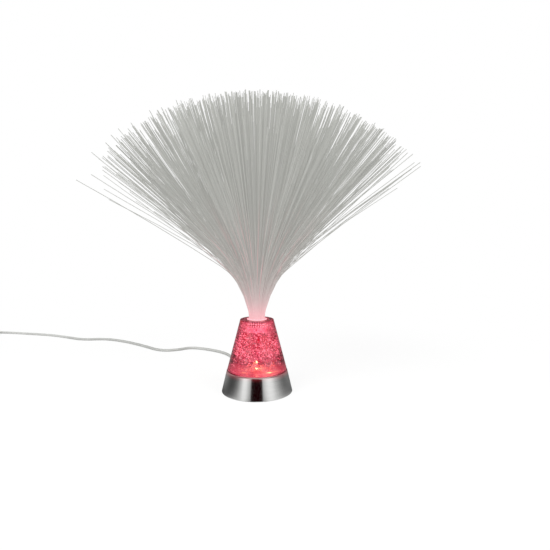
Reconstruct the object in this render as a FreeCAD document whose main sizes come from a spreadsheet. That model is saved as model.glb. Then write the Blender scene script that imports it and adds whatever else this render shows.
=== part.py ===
"""Fibre optic table lamp: steel foot, clear cone lit by three LEDs, and a spray of fibres that lifts out.

FreeCAD macro. Millimetres, +Z up, front towards -Y. The origin is the centre of the base pad's face on the
table.
"""
import FreeCAD, Part
import math
import os

import Sketcher

Vector = FreeCAD.Vector
UP = Vector(0, 0, 1)

# Driving dimensions, in millimetres and degrees. Azimuths turn anticlockwise from +X, seen from above.
SIZES = {
    "overall_height": 315.0,
    # steel foot ring
    "foot_radius": 39.0,
    "ring_top_radius": 33.3,
    "ring_height": 23.7,
    "ring_lift": 0.6,
    "ring_wall": 1.0,
    "ring_edge_round": 0.4,
    "lip_width": 2.3,
    # base pad and bottom cover
    "pad_margin": 5.0,
    "pad_thickness": 1.5,
    "pad_recess": 0.5,
    "pad_edge_gap": 0.3,
    "cover_thickness": 2.5,
    "cover_gap": 0.2,
    # inner frame
    "frame_gap": 0.2,
    "frame_wall": 2.0,
    "deck_height": 18.0,
    "deck_thickness": 2.0,
    "deck_opening_radius": 22.0,
    "boss_radius": 3.2,
    "boss_circle": 28.5,
    "boss_azimuth": 30.0,
    "pilot_radius": 1.2,
    "pilot_depth": 9.0,
    # cover screws
    "screw_radius": 1.2,
    "screw_hole_gap": 0.3,
    "screw_head_radius": 2.8,
    "screw_length": 9.0,
    "screw_slot_width": 0.6,
    "screw_slot_depth": 0.6,
    # clear cone
    "cone_height": 56.1,
    "cone_top_radius": 18.2,
    "cone_step": 0.3,
    "cone_edge_round": 0.8,
    "spigot_gap": 0.2,
    "glow_recess_depth": 4.0,
    "glow_recess_radius": 26.0,
    # reflector
    "reflector_thickness": 1.0,
    "reflector_gap": 0.3,
    "led_hole_gap": 0.2,
    # circuit board
    "board_radius": 20.0,
    "board_thickness": 1.6,
    "post_radius": 2.6,
    "post_circle": 16.0,
    "post_azimuth": 30.0,
    "board_screw_radius": 0.9,
    "board_screw_length": 6.5,
    "board_screw_head_radius": 1.9,
    "board_screw_head_height": 1.3,
    "board_screw_slot_width": 0.5,
    "board_screw_slot_depth": 0.6,
    # what the board carries
    "chip_length": 5.0,
    "chip_width": 4.0,
    "chip_height": 1.5,
    "resistor_length": 3.2,
    "resistor_width": 1.6,
    "resistor_height": 0.6,
    "resistor_circle": 7.0,
    "capacitor_radius": 2.5,
    "capacitor_length": 5.0,
    "capacitor_x": 5.0,
    "capacitor_y": -9.0,
    "header_length": 8.0,
    "header_width": 4.0,
    "header_height": 3.0,
    "header_x": 2.0,
    "header_y": 5.0,
    # LEDs
    "led_radius": 2.5,
    "led_flange_radius": 2.9,
    "led_flange_height": 1.0,
    "led_barrel_height": 6.1,
    "led_top_gap": 0.8,
    "led_circle": 12.0,
    "led_azimuth": -30.0,
    "lead_width": 0.5,
    "lead_pitch": 2.54,
    "lead_tail": 1.5,
    "lead_hole_radius": 0.5,
    # push-button switch
    "switch_azimuth": 60.0,
    "switch_height": 11.0,
    "switch_depth": 12.0,
    "switch_case_radius": 3.8,
    "switch_case_length": 6.0,
    "switch_neck_radius": 2.9,
    "switch_terminal_offset": 1.9,
    "bezel_radius": 4.2,
    "bezel_thickness": 0.9,
    "nut_radius": 4.4,
    "nut_thickness": 1.6,
    "button_radius": 2.0,
    "button_gap": 0.08,
    "button_proud": 2.2,
    "button_stem": 4.2,
    "button_travel": 1.5,
    "button_bottom_gap": 0.5,
    # cord gland
    "gland_azimuth": 110.0,
    "gland_height": 8.6,
    "gland_neck_radius": 3.3,
    "gland_flange_radius": 4.0,
    "gland_flange_thickness": 2.0,
    "gland_nose_length": 20.0,
    "gland_nose_radius": 2.6,
    "cord_lead": 11.0,
    "hole_gap": 0.1,
    # cord, its coil and tie
    "cord_diameter": 4.0,
    "coil_mean_radius": 22.0,
    "turns_across": 3.0,
    "turns_high": 2.0,
    "coil_corner": 1.2,
    "tie_width": 6.0,
    "tie_thickness": 0.8,
    "tie_slack": 0.35,
    "wire_diameter": 1.3,
    "wire_pitch": 1.7,
    "wire_lead": 4.0,
    "wire_rise": 2.0,
    # plug-in adapter
    "adapter_width": 34.0,
    "adapter_height": 26.0,
    "adapter_length": 44.0,
    "adapter_wall": 2.0,
    "adapter_round": 4.0,
    "adapter_front_thickness": 8.0,
    "plug_pin_radius": 2.0,
    "plug_pin_length": 19.0,
    "plug_pin_spacing": 18.8,
    "plug_pin_root": 5.0,
    "adapter_relief_length": 15.0,
    "adapter_relief_radius": 3.6,
    "adapter_board_gap": 4.0,
    "transformer_width": 20.0,
    "transformer_depth": 16.0,
    "transformer_height": 15.0,
    "adapter_capacitor_radius": 4.0,
    "adapter_capacitor_height": 12.0,
    "adapter_capacitor_offset": 8.0,
    # fibre spray
    "collar_radius": 10.9,
    "collar_slide_gap": 0.06,
    "collar_proud": 0.4,
    "collar_rib_depth": 0.5,
    "collar_rib_pitch": 3.0,
    "socket_depth": 14.0,
    "socket_floor_gap": 0.1,
    "bundle_radius": 8.8,
    "fibre_diameter": 0.75,
    "fibre_gap": 0.18,
    "bend_radius": 78.0,
    "spread_angle": 57.0,
    "spread_lean": 2.5,
    "fibre_droop": 6.0,
    "fibre_unevenness": 6.0,
}

# The cord's route after its straight lead out of the gland's nose, as points chosen by hand: x, y and the
# height of the centreline, which is LAID where the cord lies on the table.
LAID = 2.1
CORD_ROUTE = [
    (-28.5, 79.0, 4.8),
    (-32.0, 100.0, 2.5),
    (-37.0, 128.0, LAID),
    (-50.0, 158.0, LAID),
    (-75.0, 180.0, LAID),
    (-108.0, 196.0, LAID),
    (-127.0, 178.0, LAID),
    (-152.0, 175.0, LAID),
    (-184.0, 206.0, LAID),
    (-223.0, 237.0, LAID),
    (-261.0, 256.0, LAID),
    (-297.0, 249.0, LAID),
    (-330.0, 268.0, LAID),
    (-370.0, 287.0, LAID),
    (-412.0, 297.0, LAID),
    (-442.0, 304.5, LAID),
    (-465.0, 306.0, 2.6),
]
COIL_CENTRE = (-487.0, 280.0)
# From the coil to the adapter's strain relief.
TAIL_ROUTE = [
    (-513.0, 278.0, 6.8),
    (-512.5, 264.5, 8.2),
    (-507.0, 251.0, 11.4),
    (-500.0, 238.5, 13.0),
]
ADAPTER_PLACE = (-500.0, 225.5)

# Shares and counts that no other size sets.
REPEATS = 3  # LEDs, posts and screws round the lamp's axis
ARC_SHARE = 0.45  # of the shorter run at each bend of a tube
SUPPLY_PINS = -0.375  # along the wire header, from its middle
SWITCH_PINS = 0.15
TRANSFORMER_SHARE = 0.63  # along the adapter's board
ADAPTER_CAPACITOR_SHARE = 0.19
SPIRAL_PACKING = 1.6  # the fibres' pitch over the step of the spiral that they stand on
SPIRAL_START = 2.2  # keeps the spiral's first fibres clear of the middle one
# How far a fibre leans, as a share of the spread angle, by its place from the bundle's middle to its rim:
# most stand close together, and the outermost few fan right out.
LEAN_BY_PLACE = [(0.0, 0.0), (0.72, 0.44), (0.95, 0.78), (1.0, 1.0)]
MIN_DROOP = 0.002  # radians, under which the end of a fibre is made straight
OVERCUT = 1.0  # how far a cutting shape runs past each face that it cuts, in mm
TOLERANCE = 0.01

doc = FreeCAD.newDocument("fibre_optic_lamp")
sheet = doc.addObject("Spreadsheet::Sheet", "sizes")
for row, (alias, amount) in enumerate(SIZES.items(), start=1):
    sheet.set(f"A{row}", alias)
    sheet.set(f"B{row}", str(amount))
    sheet.setAlias(f"B{row}", alias)
doc.recompute()


# ---------------------------------------------------------------- sizes and expressions
class Size:
    """A size read or worked out from the sheet: the expression, and the number that it has now."""

    def __init__(self, text, value):
        self.text = text
        self.value = value

    def __add__(self, other):
        return Size(f"({self.text} + {text_of(other)})", self.value + value_of(other))

    def __sub__(self, other):
        return Size(f"({self.text} - {text_of(other)})", self.value - value_of(other))

    def __mul__(self, other):
        return Size(f"({self.text} * {text_of(other)})", self.value * value_of(other))

    def __truediv__(self, other):
        return Size(f"({self.text} / {text_of(other)})", self.value / value_of(other))


class Sheet:
    """Gives each alias of the sheet as a Size, such as s.foot_radius."""

    def __getattr__(self, alias):
        return Size(f"sizes.{alias}", float(sheet.get(alias)))


def text_of(size):
    return size.text if isinstance(size, Size) else str(float(size))


def value_of(size):
    return size.value if isinstance(size, Size) else float(size)


def polar(radius, azimuth):
    """The x and y of a point at that radius and azimuth."""
    angle = math.radians(value_of(azimuth))
    reach = text_of(radius)
    turn = text_of(azimuth)
    across = Size(f"({reach} * cos({turn}))", value_of(radius) * math.cos(angle))
    along = Size(f"({reach} * sin({turn}))", value_of(radius) * math.sin(angle))
    return across, along


s = Sheet()
ZERO = 0.0


def ring_places(circle, azimuth):
    """The x and y of each of the pieces that repeat round the lamp's axis, from that azimuth on."""
    return [polar(circle, azimuth + index * 360 / REPEATS) for index in range(REPEATS)]

# ---------------------------------------------------------------- levels and radii shared by the pieces
ring_top = s.ring_lift + s.ring_height
ring_taper = (s.foot_radius - s.ring_top_radius) / s.ring_height
pad_radius = s.foot_radius - s.pad_margin
cover_bottom = s.pad_thickness - s.pad_recess
cover_top = cover_bottom + s.cover_thickness
deck_bottom = s.deck_height - s.deck_thickness
recess_top = s.deck_height + s.glow_recess_depth
board_top = recess_top - s.led_top_gap - s.led_radius - s.led_barrel_height
board_height = board_top - s.board_thickness
neck_height = ring_top + s.cone_height
socket_radius = s.collar_radius + s.collar_slide_gap
socket_floor = neck_height - s.socket_depth
bundle_bottom = socket_floor + s.socket_floor_gap
fibre_root = neck_height + s.collar_proud
cord_radius = s.cord_diameter / 2


def ring_outside(height):
    """The steel ring's outer radius at that height."""
    return s.foot_radius - ring_taper * (height - s.ring_lift)


def ring_inside(height):
    return ring_outside(height) - s.ring_wall


lip_radius = s.ring_top_radius - s.lip_width
lip_bottom = ring_top - s.ring_wall
spigot_radius = lip_radius - s.spigot_gap
cover_radius = ring_inside(cover_top) - s.cover_gap


# ---------------------------------------------------------------- helpers
def bind(item, sizes):
    """Bind properties of an object to the sheet."""
    for name, size in sizes.items():
        item.setExpression(name, text_of(size))
    return item


def lift(height, across=ZERO, along=ZERO):
    return {"Placement.Base.x": across, "Placement.Base.y": along, "Placement.Base.z": height}


def cylinder(name, radius, length, height, across=ZERO, along=ZERO):
    item = doc.addObject("Part::Cylinder", name)
    return bind(item, {"Radius": radius, "Height": length, **lift(height, across, along)})


def cone(name, low_radius, high_radius, length, height, across=ZERO, along=ZERO):
    item = doc.addObject("Part::Cone", name)
    bind(item, {"Radius1": low_radius, "Radius2": high_radius, "Height": length})
    return bind(item, lift(height, across, along))


def block(name, width, depth, tall, height, across=ZERO, along=ZERO):
    """A box centred on its x and y."""
    item = doc.addObject("Part::Box", name)
    bind(item, {"Length": width, "Width": depth, "Height": tall})
    return bind(item, lift(height, middle_to_corner(across, width), middle_to_corner(along, depth)))


def middle_to_corner(middle, extent):
    text = f"({text_of(middle)} - {text_of(extent)} / 2)"
    return Size(text, value_of(middle) - value_of(extent) / 2)


def fuse(name, members):
    item = doc.addObject("Part::MultiFuse", name)
    item.Shapes = members
    return item


def group(name, members):
    """Separate solids that share one node."""
    item = doc.addObject("Part::Compound", name)
    item.Links = members
    return item


def cut(name, base, tools):
    item = doc.addObject("Part::Cut", name)
    item.Base = base
    item.Tool = tools[0] if len(tools) == 1 else group(f"{name}_tools", tools)
    return item


def outward(azimuth, radius, height, tilt=0.0):
    """A placement whose own +Z points out of the lamp at that azimuth, raised by tilt degrees."""
    turn = FreeCAD.Rotation(UP, value_of(azimuth))
    lean = FreeCAD.Rotation(Vector(0, 1, 0), 90 - tilt)
    away = turn.multVec(Vector(1, 0, 0))
    return FreeCAD.Placement(away * radius + UP * value_of(height), turn * lean)


def origin_plane(body, role):
    return next(plane for plane in body.Origin.OriginFeatures if plane.Role == role)


def revolved(name, corners):
    """A body turned about its own Z from a closed outline of (radius, height) corners."""
    body = doc.addObject("PartDesign::Body", name)
    sketch = body.newObject("Sketcher::SketchObject", f"{name}_outline")
    sketch.AttachmentSupport = [(origin_plane(body, "XZ_Plane"), "")]
    sketch.MapMode = "FlatFace"
    points = [Vector(value_of(radius), value_of(height), 0) for radius, height in corners]
    for start, end in zip(points, points[1:] + points[:1]):
        sketch.addGeometry(Part.LineSegment(start, end), False)
    for edge in range(len(points)):
        sketch.addConstraint(Sketcher.Constraint("Coincident", edge, 2, (edge + 1) % len(points), 1))
    for edge, corner in enumerate(corners):
        for kind, size, axis in (("DistanceX", corner[0], -2), ("DistanceY", corner[1], -1)):
            if value_of(size) == 0:
                sketch.addConstraint(Sketcher.Constraint("PointOnObject", edge, 1, axis))
                continue
            limit = sketch.addConstraint(Sketcher.Constraint(kind, -1, 1, edge, 1, value_of(size)))
            sketch.setExpression(f"Constraints[{limit}]", text_of(size))
    turned = body.newObject("PartDesign::Revolution", f"{name}_turned")
    turned.Profile = sketch
    turned.ReferenceAxis = (sketch, ["V_Axis"])
    turned.Angle = 360
    sketch.Visibility = False
    doc.recompute()
    return body


def rims(feature, radius, height):
    """The names of a feature's round edges of that radius at that height."""
    names = []
    for index, edge in enumerate(feature.Shape.Edges, start=1):
        if not isinstance(edge.Curve, Part.Circle):
            continue
        wide = abs(edge.Curve.Radius - value_of(radius)) < TOLERANCE
        if wide and abs(edge.Curve.Center.z - value_of(height)) < TOLERANCE:
            names.append(f"Edge{index}")
    return names


def round_rims(body, name, radius, rim_places):
    """Fillet the round edges at the given (radius, height) places."""
    feature = body.Tip
    fillet = body.newObject("PartDesign::Fillet", name)
    fillet.Base = (feature, [edge for place in rim_places for edge in rims(feature, *place)])
    bind(fillet, {"Radius": radius})
    doc.recompute()


def disc_sketch(body, name, radius, height, circle, azimuth):
    """A circle on the body's XY plane, lifted to a height, at a place on a pitch circle."""
    sketch = body.newObject("Sketcher::SketchObject", name)
    sketch.AttachmentSupport = [(origin_plane(body, "XY_Plane"), "")]
    sketch.MapMode = "FlatFace"
    bind(sketch, {"AttachmentOffset.Base.z": height, "AttachmentOffset.Rotation.Angle": azimuth})
    centre = Vector(value_of(circle), 0, 0)
    sketch.addGeometry(Part.Circle(centre, Vector(0, 0, 1), value_of(radius)), False)
    sketch.addConstraint(Sketcher.Constraint("PointOnObject", 0, 3, -1))
    for kind, size in (("DistanceX", circle), ("Radius", radius)):
        arguments = (-1, 1, 0, 3, value_of(size)) if kind == "DistanceX" else (0, value_of(size))
        limit = sketch.addConstraint(Sketcher.Constraint(kind, *arguments))
        sketch.setExpression(f"Constraints[{limit}]", text_of(size))
    sketch.Visibility = False
    return sketch


def around(body, feature, sketch):
    """Repeat a feature round the lamp's axis."""
    pattern = body.newObject("PartDesign::PolarPattern", f"{feature.Name}_round")
    pattern.Originals = [feature]
    pattern.Axis = (sketch, ["N_Axis"])
    pattern.Angle = 360
    pattern.Occurrences = REPEATS
    body.Tip = pattern
    doc.recompute()


def add_posts(body, name, radius, height, length, circle, azimuth, downwards=False):
    sketch = disc_sketch(body, f"{name}_outline", radius, height, circle, azimuth)
    pad = body.newObject("PartDesign::Pad", name)
    pad.Profile = sketch
    pad.Reversed = downwards
    bind(pad, {"Length": length})
    around(body, pad, sketch)


def drill_posts(body, name, radius, height, length, circle, azimuth, upwards=False):
    before = body.Shape.Volume
    sketch = disc_sketch(body, f"{name}_outline", radius, height, circle, azimuth)
    pocket = body.newObject("PartDesign::Pocket", name)
    pocket.Profile = sketch
    pocket.Reversed = upwards
    bind(pocket, {"Length": length})
    around(body, pocket, sketch)
    if body.Shape.Volume > before - TOLERANCE:
        raise RuntimeError(f"{name} cut nothing")


def rounded_path(points):
    """Straight runs joined by tangent arcs, as one wire, with the arcs' radii."""
    edges = []
    radii = []
    start = points[0]
    for before, corner, after in zip(points, points[1:], points[2:]):
        back = (before - corner).normalize()
        onward = (after - corner).normalize()
        setback = ARC_SHARE * min(before.distanceToPoint(corner), after.distanceToPoint(corner))
        half_turn = (math.pi - back.getAngle(onward)) / 2
        radius = setback / math.tan(half_turn)
        arc_start = corner + back * setback
        arc_end = corner + onward * setback
        middle = corner + (back + onward).normalize() * (radius / math.cos(half_turn) - radius)
        edges.append(Part.LineSegment(start, arc_start).toShape())
        edges.append(Part.Arc(arc_start, middle, arc_end).toShape())
        start = arc_end
        radii.append(radius)
    edges.append(Part.LineSegment(start, points[-1]).toShape())
    return Part.Wire(edges), radii


def tube(points, diameter):
    """A round tube along a rounded path."""
    path, radii = rounded_path(points)
    section = Part.Circle(points[0], points[1] - points[0], diameter / 2).toShape()
    solid = Part.Solid(path.makePipeShell([Part.Wire([section])], True, False))
    share = solid.Volume / (math.pi * diameter ** 2 / 4 * path.Length)
    return solid, path.Length, min(radii), share


def solid_feature(name, shape):
    item = doc.addObject("Part::Feature", name)
    item.Shape = shape
    return item


# ---------------------------------------------------------------- foot
def make_foot_ring():
    """Tapered steel shell with a turned-in lip, and holes for the switch and the gland."""
    body = revolved("foot_ring_shell", [
        (s.foot_radius, s.ring_lift),
        (s.ring_top_radius, ring_top),
        (lip_radius, ring_top),
        (lip_radius, lip_bottom),
        (ring_inside(lip_bottom), lip_bottom),
        (ring_inside(s.ring_lift), s.ring_lift),
    ])
    edges = [(s.ring_top_radius, ring_top), (s.foot_radius, s.ring_lift)]
    round_rims(body, "foot_ring_round", s.ring_edge_round, edges)
    return cut("foot_ring", body, [switch_hole("ring"), gland_hole("ring", s.gland_neck_radius)])


def make_base_pad():
    return cylinder("base_pad", pad_radius, s.pad_thickness, ZERO)


def make_bottom_cover():
    """Plate with a recess for the pad, three posts for the circuit board and three sunk screw holes."""
    recess_radius = pad_radius + s.pad_edge_gap
    body = revolved("bottom_cover_plate", [
        (ZERO, s.pad_thickness),
        (recess_radius, s.pad_thickness),
        (recess_radius, cover_bottom),
        (cover_radius, cover_bottom),
        (cover_radius, cover_top),
        (ZERO, cover_top),
    ])
    posts = (s.post_circle, s.post_azimuth)
    add_posts(body, "board_posts", s.post_radius, cover_top, board_height - cover_top, *posts)
    pilot = s.board_screw_length - s.board_thickness
    drill_posts(body, "post_pilots", s.board_screw_radius, board_height, pilot, *posts)
    hole = s.screw_radius + s.screw_hole_gap
    head = s.screw_head_radius + s.screw_hole_gap
    tools = []
    for index, place in enumerate(ring_places(s.boss_circle, s.boss_azimuth)):
        length = s.cover_thickness + OVERCUT
        tools.append(cylinder(f"cover_hole_{index}", hole, length, cover_bottom, *place))
        tools.append(cone(f"cover_sink_{index}", head, hole, head - hole, s.pad_thickness, *place))
    return cut("bottom_cover", body, tools)


def make_cover_screws():
    """Three countersunk screws, up through the cover into the frame's bosses."""
    outer = s.screw_head_radius
    inner = s.screw_radius
    across = outer * 2 + OVERCUT * 2
    depth = s.screw_slot_depth
    screws = []
    for index, place in enumerate(ring_places(s.boss_circle, s.boss_azimuth)):
        name = f"cover_screw_{index}"
        head = cone(f"{name}_head", outer, inner, outer - inner, s.pad_thickness, *place)
        shank = cylinder(f"{name}_shank", inner, s.screw_length, s.pad_thickness, *place)
        slot = block(f"{name}_slot", across, s.screw_slot_width, depth, s.pad_thickness, *place)
        screws.append(cut(name, fuse(f"{name}_solid", [head, shank]), [slot]))
    return group("cover_screws", screws)


def make_inner_frame():
    """Plastic ring inside the steel one: rim under its lip, deck under the cone, bosses for screws."""
    low_outside = ring_inside(cover_top) - s.frame_gap
    high_outside = ring_inside(lip_bottom) - s.frame_gap
    deck_wall = ring_inside(deck_bottom) - s.frame_gap - s.frame_wall
    body = revolved("inner_frame_ring", [
        (low_outside, cover_top),
        (high_outside, lip_bottom),
        (lip_radius, lip_bottom),
        (lip_radius, s.deck_height),
        (s.deck_opening_radius, s.deck_height),
        (s.deck_opening_radius, deck_bottom),
        (deck_wall, deck_bottom),
        (low_outside - s.frame_wall, cover_top),
    ])
    boss_length = deck_bottom - cover_top + s.deck_thickness / 2
    bosses = (s.boss_circle, s.boss_azimuth)
    add_posts(body, "screw_bosses", s.boss_radius, cover_top, boss_length, *bosses)
    drill_posts(body, "boss_pilots", s.pilot_radius, cover_top, s.pilot_depth, *bosses, upwards=True)
    return cut("inner_frame", body, [switch_hole("frame"), gland_hole("frame", s.gland_flange_radius)])


# ---------------------------------------------------------------- clear cone and light
def make_acrylic_cone():
    """Solid clear cone on a spigot, with a socket for the spray above and a recess over the LEDs below."""
    shoulder = s.ring_top_radius - s.cone_step
    body = revolved("acrylic_cone", [
        (ZERO, recess_top),
        (s.glow_recess_radius, recess_top),
        (s.glow_recess_radius, s.deck_height),
        (spigot_radius, s.deck_height),
        (spigot_radius, ring_top),
        (shoulder, ring_top),
        (s.cone_top_radius, neck_height),
        (socket_radius, neck_height),
        (socket_radius, socket_floor),
        (ZERO, socket_floor),
    ])
    round_rims(body, "acrylic_cone_round", s.cone_edge_round, [(s.cone_top_radius, neck_height)])
    return body


def led_places():
    return ring_places(s.led_circle, s.led_azimuth)


def lead_places():
    """The two leads of each LED."""
    half_pitch = s.lead_pitch / 2
    return [(across + half_pitch * side, along) for across, along in led_places() for side in (-1, 1)]


def make_reflector():
    """White plate on the deck, round the LEDs."""
    radius = s.glow_recess_radius - s.reflector_gap
    plate = cylinder("reflector_disc", radius, s.reflector_thickness, s.deck_height)
    hole_radius = s.led_radius + s.led_hole_gap
    deep = s.reflector_thickness + OVERCUT * 2
    low = s.deck_height - OVERCUT
    holes = []
    for index, place in enumerate(led_places()):
        holes.append(cylinder(f"reflector_hole_{index}", hole_radius, deep, low, *place))
    return cut("reflector_plate", plate, holes)


def make_led_board():
    """Round circuit board on the cover's posts."""
    disc = cylinder("led_board_disc", s.board_radius, s.board_thickness, board_height)
    deep = s.board_thickness + OVERCUT * 2
    low = board_height - OVERCUT
    hole_radius = s.board_screw_radius + s.screw_hole_gap
    holes = []
    for index, place in enumerate(lead_places()):
        holes.append(cylinder(f"lead_hole_{index}", s.lead_hole_radius, deep, low, *place))
    for index, place in enumerate(ring_places(s.post_circle, s.post_azimuth)):
        holes.append(cylinder(f"board_screw_hole_{index}", hole_radius, deep, low, *place))
    return cut("led_board", disc, holes)


def make_board_screws():
    """Three slotted screws, down through the board into the cover's posts."""
    head_radius = s.board_screw_head_radius
    head_height = s.board_screw_head_height
    across = head_radius * 2 + OVERCUT * 2
    depth = s.board_screw_slot_depth
    slot_floor = board_top + head_height - depth
    tip = board_top - s.board_screw_length
    screws = []
    for index, place in enumerate(ring_places(s.post_circle, s.post_azimuth)):
        name = f"board_screw_{index}"
        shank = cylinder(f"{name}_shank", s.board_screw_radius, s.board_screw_length, tip, *place)
        head = cylinder(f"{name}_head", head_radius, head_height, board_top, *place)
        slot = block(f"{name}_slot", across, s.board_screw_slot_width, depth, slot_floor, *place)
        screws.append(cut(name, fuse(f"{name}_solid", [head, shank]), [slot]))
    return group("board_screws", screws)


def make_led(number):
    """One 5 mm LED standing on the board: flange, barrel, domed lens and two leads."""
    place = led_places()[number]
    name = f"led_{number + 1}"
    flange = cylinder(f"{name}_flange", s.led_flange_radius, s.led_flange_height, board_top, *place)
    barrel = cylinder(f"{name}_barrel", s.led_radius, s.led_barrel_height, board_top, *place)
    dome = doc.addObject("Part::Sphere", f"{name}_dome")
    bind(dome, {"Radius": s.led_radius, **lift(board_top + s.led_barrel_height, *place)})
    members = [flange, barrel, dome]
    length = s.board_thickness + s.lead_tail
    tip = board_top - length
    for side in (-1, 1):
        across = place[0] + s.lead_pitch / 2 * side
        lead = block(f"{name}_lead_{side + 1}", s.lead_width, s.lead_width, length, tip, across, place[1])
        members.append(lead)
    return fuse(name, members)


def make_board_components():
    """Colour-changing controller chip and resistors on the board, capacitor and wire header under it."""
    chip = block("controller_chip", s.chip_length, s.chip_width, s.chip_height, board_top)
    half_step = 180 / REPEATS
    resistor = (s.resistor_length, s.resistor_width, s.resistor_height)
    resistors = []
    for index, place in enumerate(ring_places(s.resistor_circle, s.led_azimuth + half_step)):
        resistors.append(block(f"resistor_{index}", *resistor, board_top, *place))
    capacitor_bottom = board_height - s.capacitor_length
    capacitor = cylinder("capacitor", s.capacitor_radius, s.capacitor_length, capacitor_bottom,
                         s.capacitor_x, s.capacitor_y)
    header = block("wire_header", s.header_length, s.header_width, s.header_height,
                   board_height - s.header_height, s.header_x, s.header_y)
    return group("board_components", [chip, *resistors, capacitor, header])


# ---------------------------------------------------------------- switch
def switch_tilt():
    """The switch stands square to the tapered ring."""
    return math.degrees(math.atan(value_of(ring_taper)))


def switch_place():
    """Its own +Z points out of the ring; its origin is switch_depth inside the ring's outer face."""
    tilt = switch_tilt()
    inner = s.switch_depth.value
    radius = ring_outside(s.switch_height).value - inner * math.cos(math.radians(tilt))
    height = s.switch_height.value - inner * math.sin(math.radians(tilt))
    return outward(s.switch_azimuth, radius, height, tilt)


def switch_hole(piece):
    """Hole for the switch: its neck's in the ring, its nut's in the frame."""
    tool = doc.addObject("Part::Cylinder", f"switch_hole_{piece}")
    gap = s.hole_gap
    radius = s.switch_neck_radius + gap if piece == "ring" else s.nut_radius + gap
    bind(tool, {"Radius": radius, "Height": s.switch_depth})
    start = s.switch_case_length.value
    tool.Placement = switch_place() * FreeCAD.Placement(UP * start, FreeCAD.Rotation())
    return tool


def make_switch_body():
    """Case inside, neck through the ring, bezel outside, and the bore that guides the button."""
    bore = s.button_radius + s.button_gap
    bezel_top = s.switch_depth + s.bezel_thickness
    bore_floor = bezel_top - s.button_stem - s.button_travel - s.button_bottom_gap
    body = revolved("switch_body", [
        (ZERO, ZERO),
        (s.switch_case_radius, ZERO),
        (s.switch_case_radius, s.switch_case_length),
        (s.switch_neck_radius, s.switch_case_length),
        (s.switch_neck_radius, s.switch_depth),
        (s.bezel_radius, s.switch_depth),
        (s.bezel_radius, bezel_top),
        (bore, bezel_top),
        (bore, bore_floor),
        (ZERO, bore_floor),
    ])
    round_rims(body, "bezel_round", s.bezel_thickness / 2, [(s.bezel_radius, bezel_top)])
    body.Placement = switch_place()
    return body


def make_switch_nut():
    """Ring nut that clamps the switch against the inside of the steel ring."""
    sagitta = s.nut_radius * s.nut_radius / (ring_inside(s.switch_height) * 2)
    top = s.switch_depth - s.ring_wall - sagitta - s.hole_gap * 2
    bottom = top - s.nut_thickness
    body = revolved("switch_nut", [
        (s.switch_neck_radius, bottom),
        (s.nut_radius, bottom),
        (s.nut_radius, top),
        (s.switch_neck_radius, top),
    ])
    body.Placement = switch_place()
    return body


def make_switch_button():
    bezel_top = s.switch_depth + s.bezel_thickness
    button_top = bezel_top + s.button_proud
    body = revolved("switch_button", [
        (ZERO, bezel_top - s.button_stem),
        (s.button_radius, bezel_top - s.button_stem),
        (s.button_radius, button_top),
        (ZERO, button_top),
    ])
    round_rims(body, "button_round", s.button_radius / 3, [(s.button_radius, button_top)])
    body.Placement = switch_place()
    return body


# ---------------------------------------------------------------- gland, wires and cord
def gland_base_radius():
    """The flange's inner face: behind the tapered wall at the flange's own top edge."""
    top = s.gland_height + s.gland_flange_radius
    sagitta = s.gland_flange_radius * s.gland_flange_radius / (ring_inside(top) * 2)
    return ring_inside(top) - sagitta - s.hole_gap - s.gland_flange_thickness


def gland_hole(piece, radius):
    tool = doc.addObject("Part::Cylinder", f"gland_hole_{piece}")
    bind(tool, {"Radius": radius + s.hole_gap, "Height": s.gland_nose_length})
    tool.Placement = gland_place() * FreeCAD.Placement(UP * -OVERCUT, FreeCAD.Rotation())
    return tool


def gland_length():
    """From the flange's inner face to the end of the nose."""
    return ring_outside(s.gland_height) - gland_base_radius() + s.gland_nose_length


def make_cord_gland():
    """Rubber strain relief: a flange behind the ring's wall, a neck through it and a tapered nose."""
    wall_face = ring_outside(s.gland_height) - gland_base_radius()
    body = revolved("cord_gland", [
        (ZERO, ZERO),
        (s.gland_flange_radius, ZERO),
        (s.gland_flange_radius, s.gland_flange_thickness),
        (s.gland_neck_radius, s.gland_flange_thickness),
        (s.gland_neck_radius, wall_face),
        (s.gland_nose_radius, gland_length()),
        (ZERO, gland_length()),
    ])
    body.Placement = gland_place()
    return body


def gland_place():
    return outward(s.gland_azimuth, gland_base_radius().value, s.gland_height)


def cord_start():
    """The centre of the gland nose's end face, and the end of the cord's straight lead out of it."""
    length = gland_length().value
    return [gland_place().multVec(UP * reach) for reach in (length, length + s.cord_lead.value)]


def make_wires(name, place, side, pin_share):
    """A pair of wires, straight out of a piece's inner end, then slack to the header under the board."""
    first_pin = (s.header_x + s.header_length * pin_share).value
    header_bottom = (board_height - s.header_height).value
    solids = []
    for step, offset in enumerate((side.value, -side.value)):
        start = place.multVec(Vector(0, offset, 0))
        lead = place.multVec(Vector(0, offset, -s.wire_lead.value))
        pin = Vector(first_pin + step * s.wire_pitch.value, s.header_y.value, header_bottom)
        below = pin - UP * s.wire_rise.value
        solids.append(tube([start, lead, below, pin], s.wire_diameter.value)[0])
    return solid_feature(name, Part.makeCompound(solids))


def make_supply_wires():
    return make_wires("supply_wires", gland_place(), s.wire_pitch / 2, SUPPLY_PINS)


def make_switch_wires():
    return make_wires("switch_wires", switch_place(), s.switch_terminal_offset, SWITCH_PINS)


def route_points(route):
    return [Vector(*point) for point in route]


def report_tube(name, measured):
    length, tightest, share = measured
    print(f"{name}: length {length:.1f} mm, tightest arc {tightest:.1f} mm")
    print(f"{name}: volume over section times length {share:.4f}")


def make_cord():
    points = [*cord_start(), *route_points(CORD_ROUTE), coil_entry()]
    solid, *measured = tube(points, s.cord_diameter.value)
    report_tube("cord", measured)
    return solid_feature("cord", solid)


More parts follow.
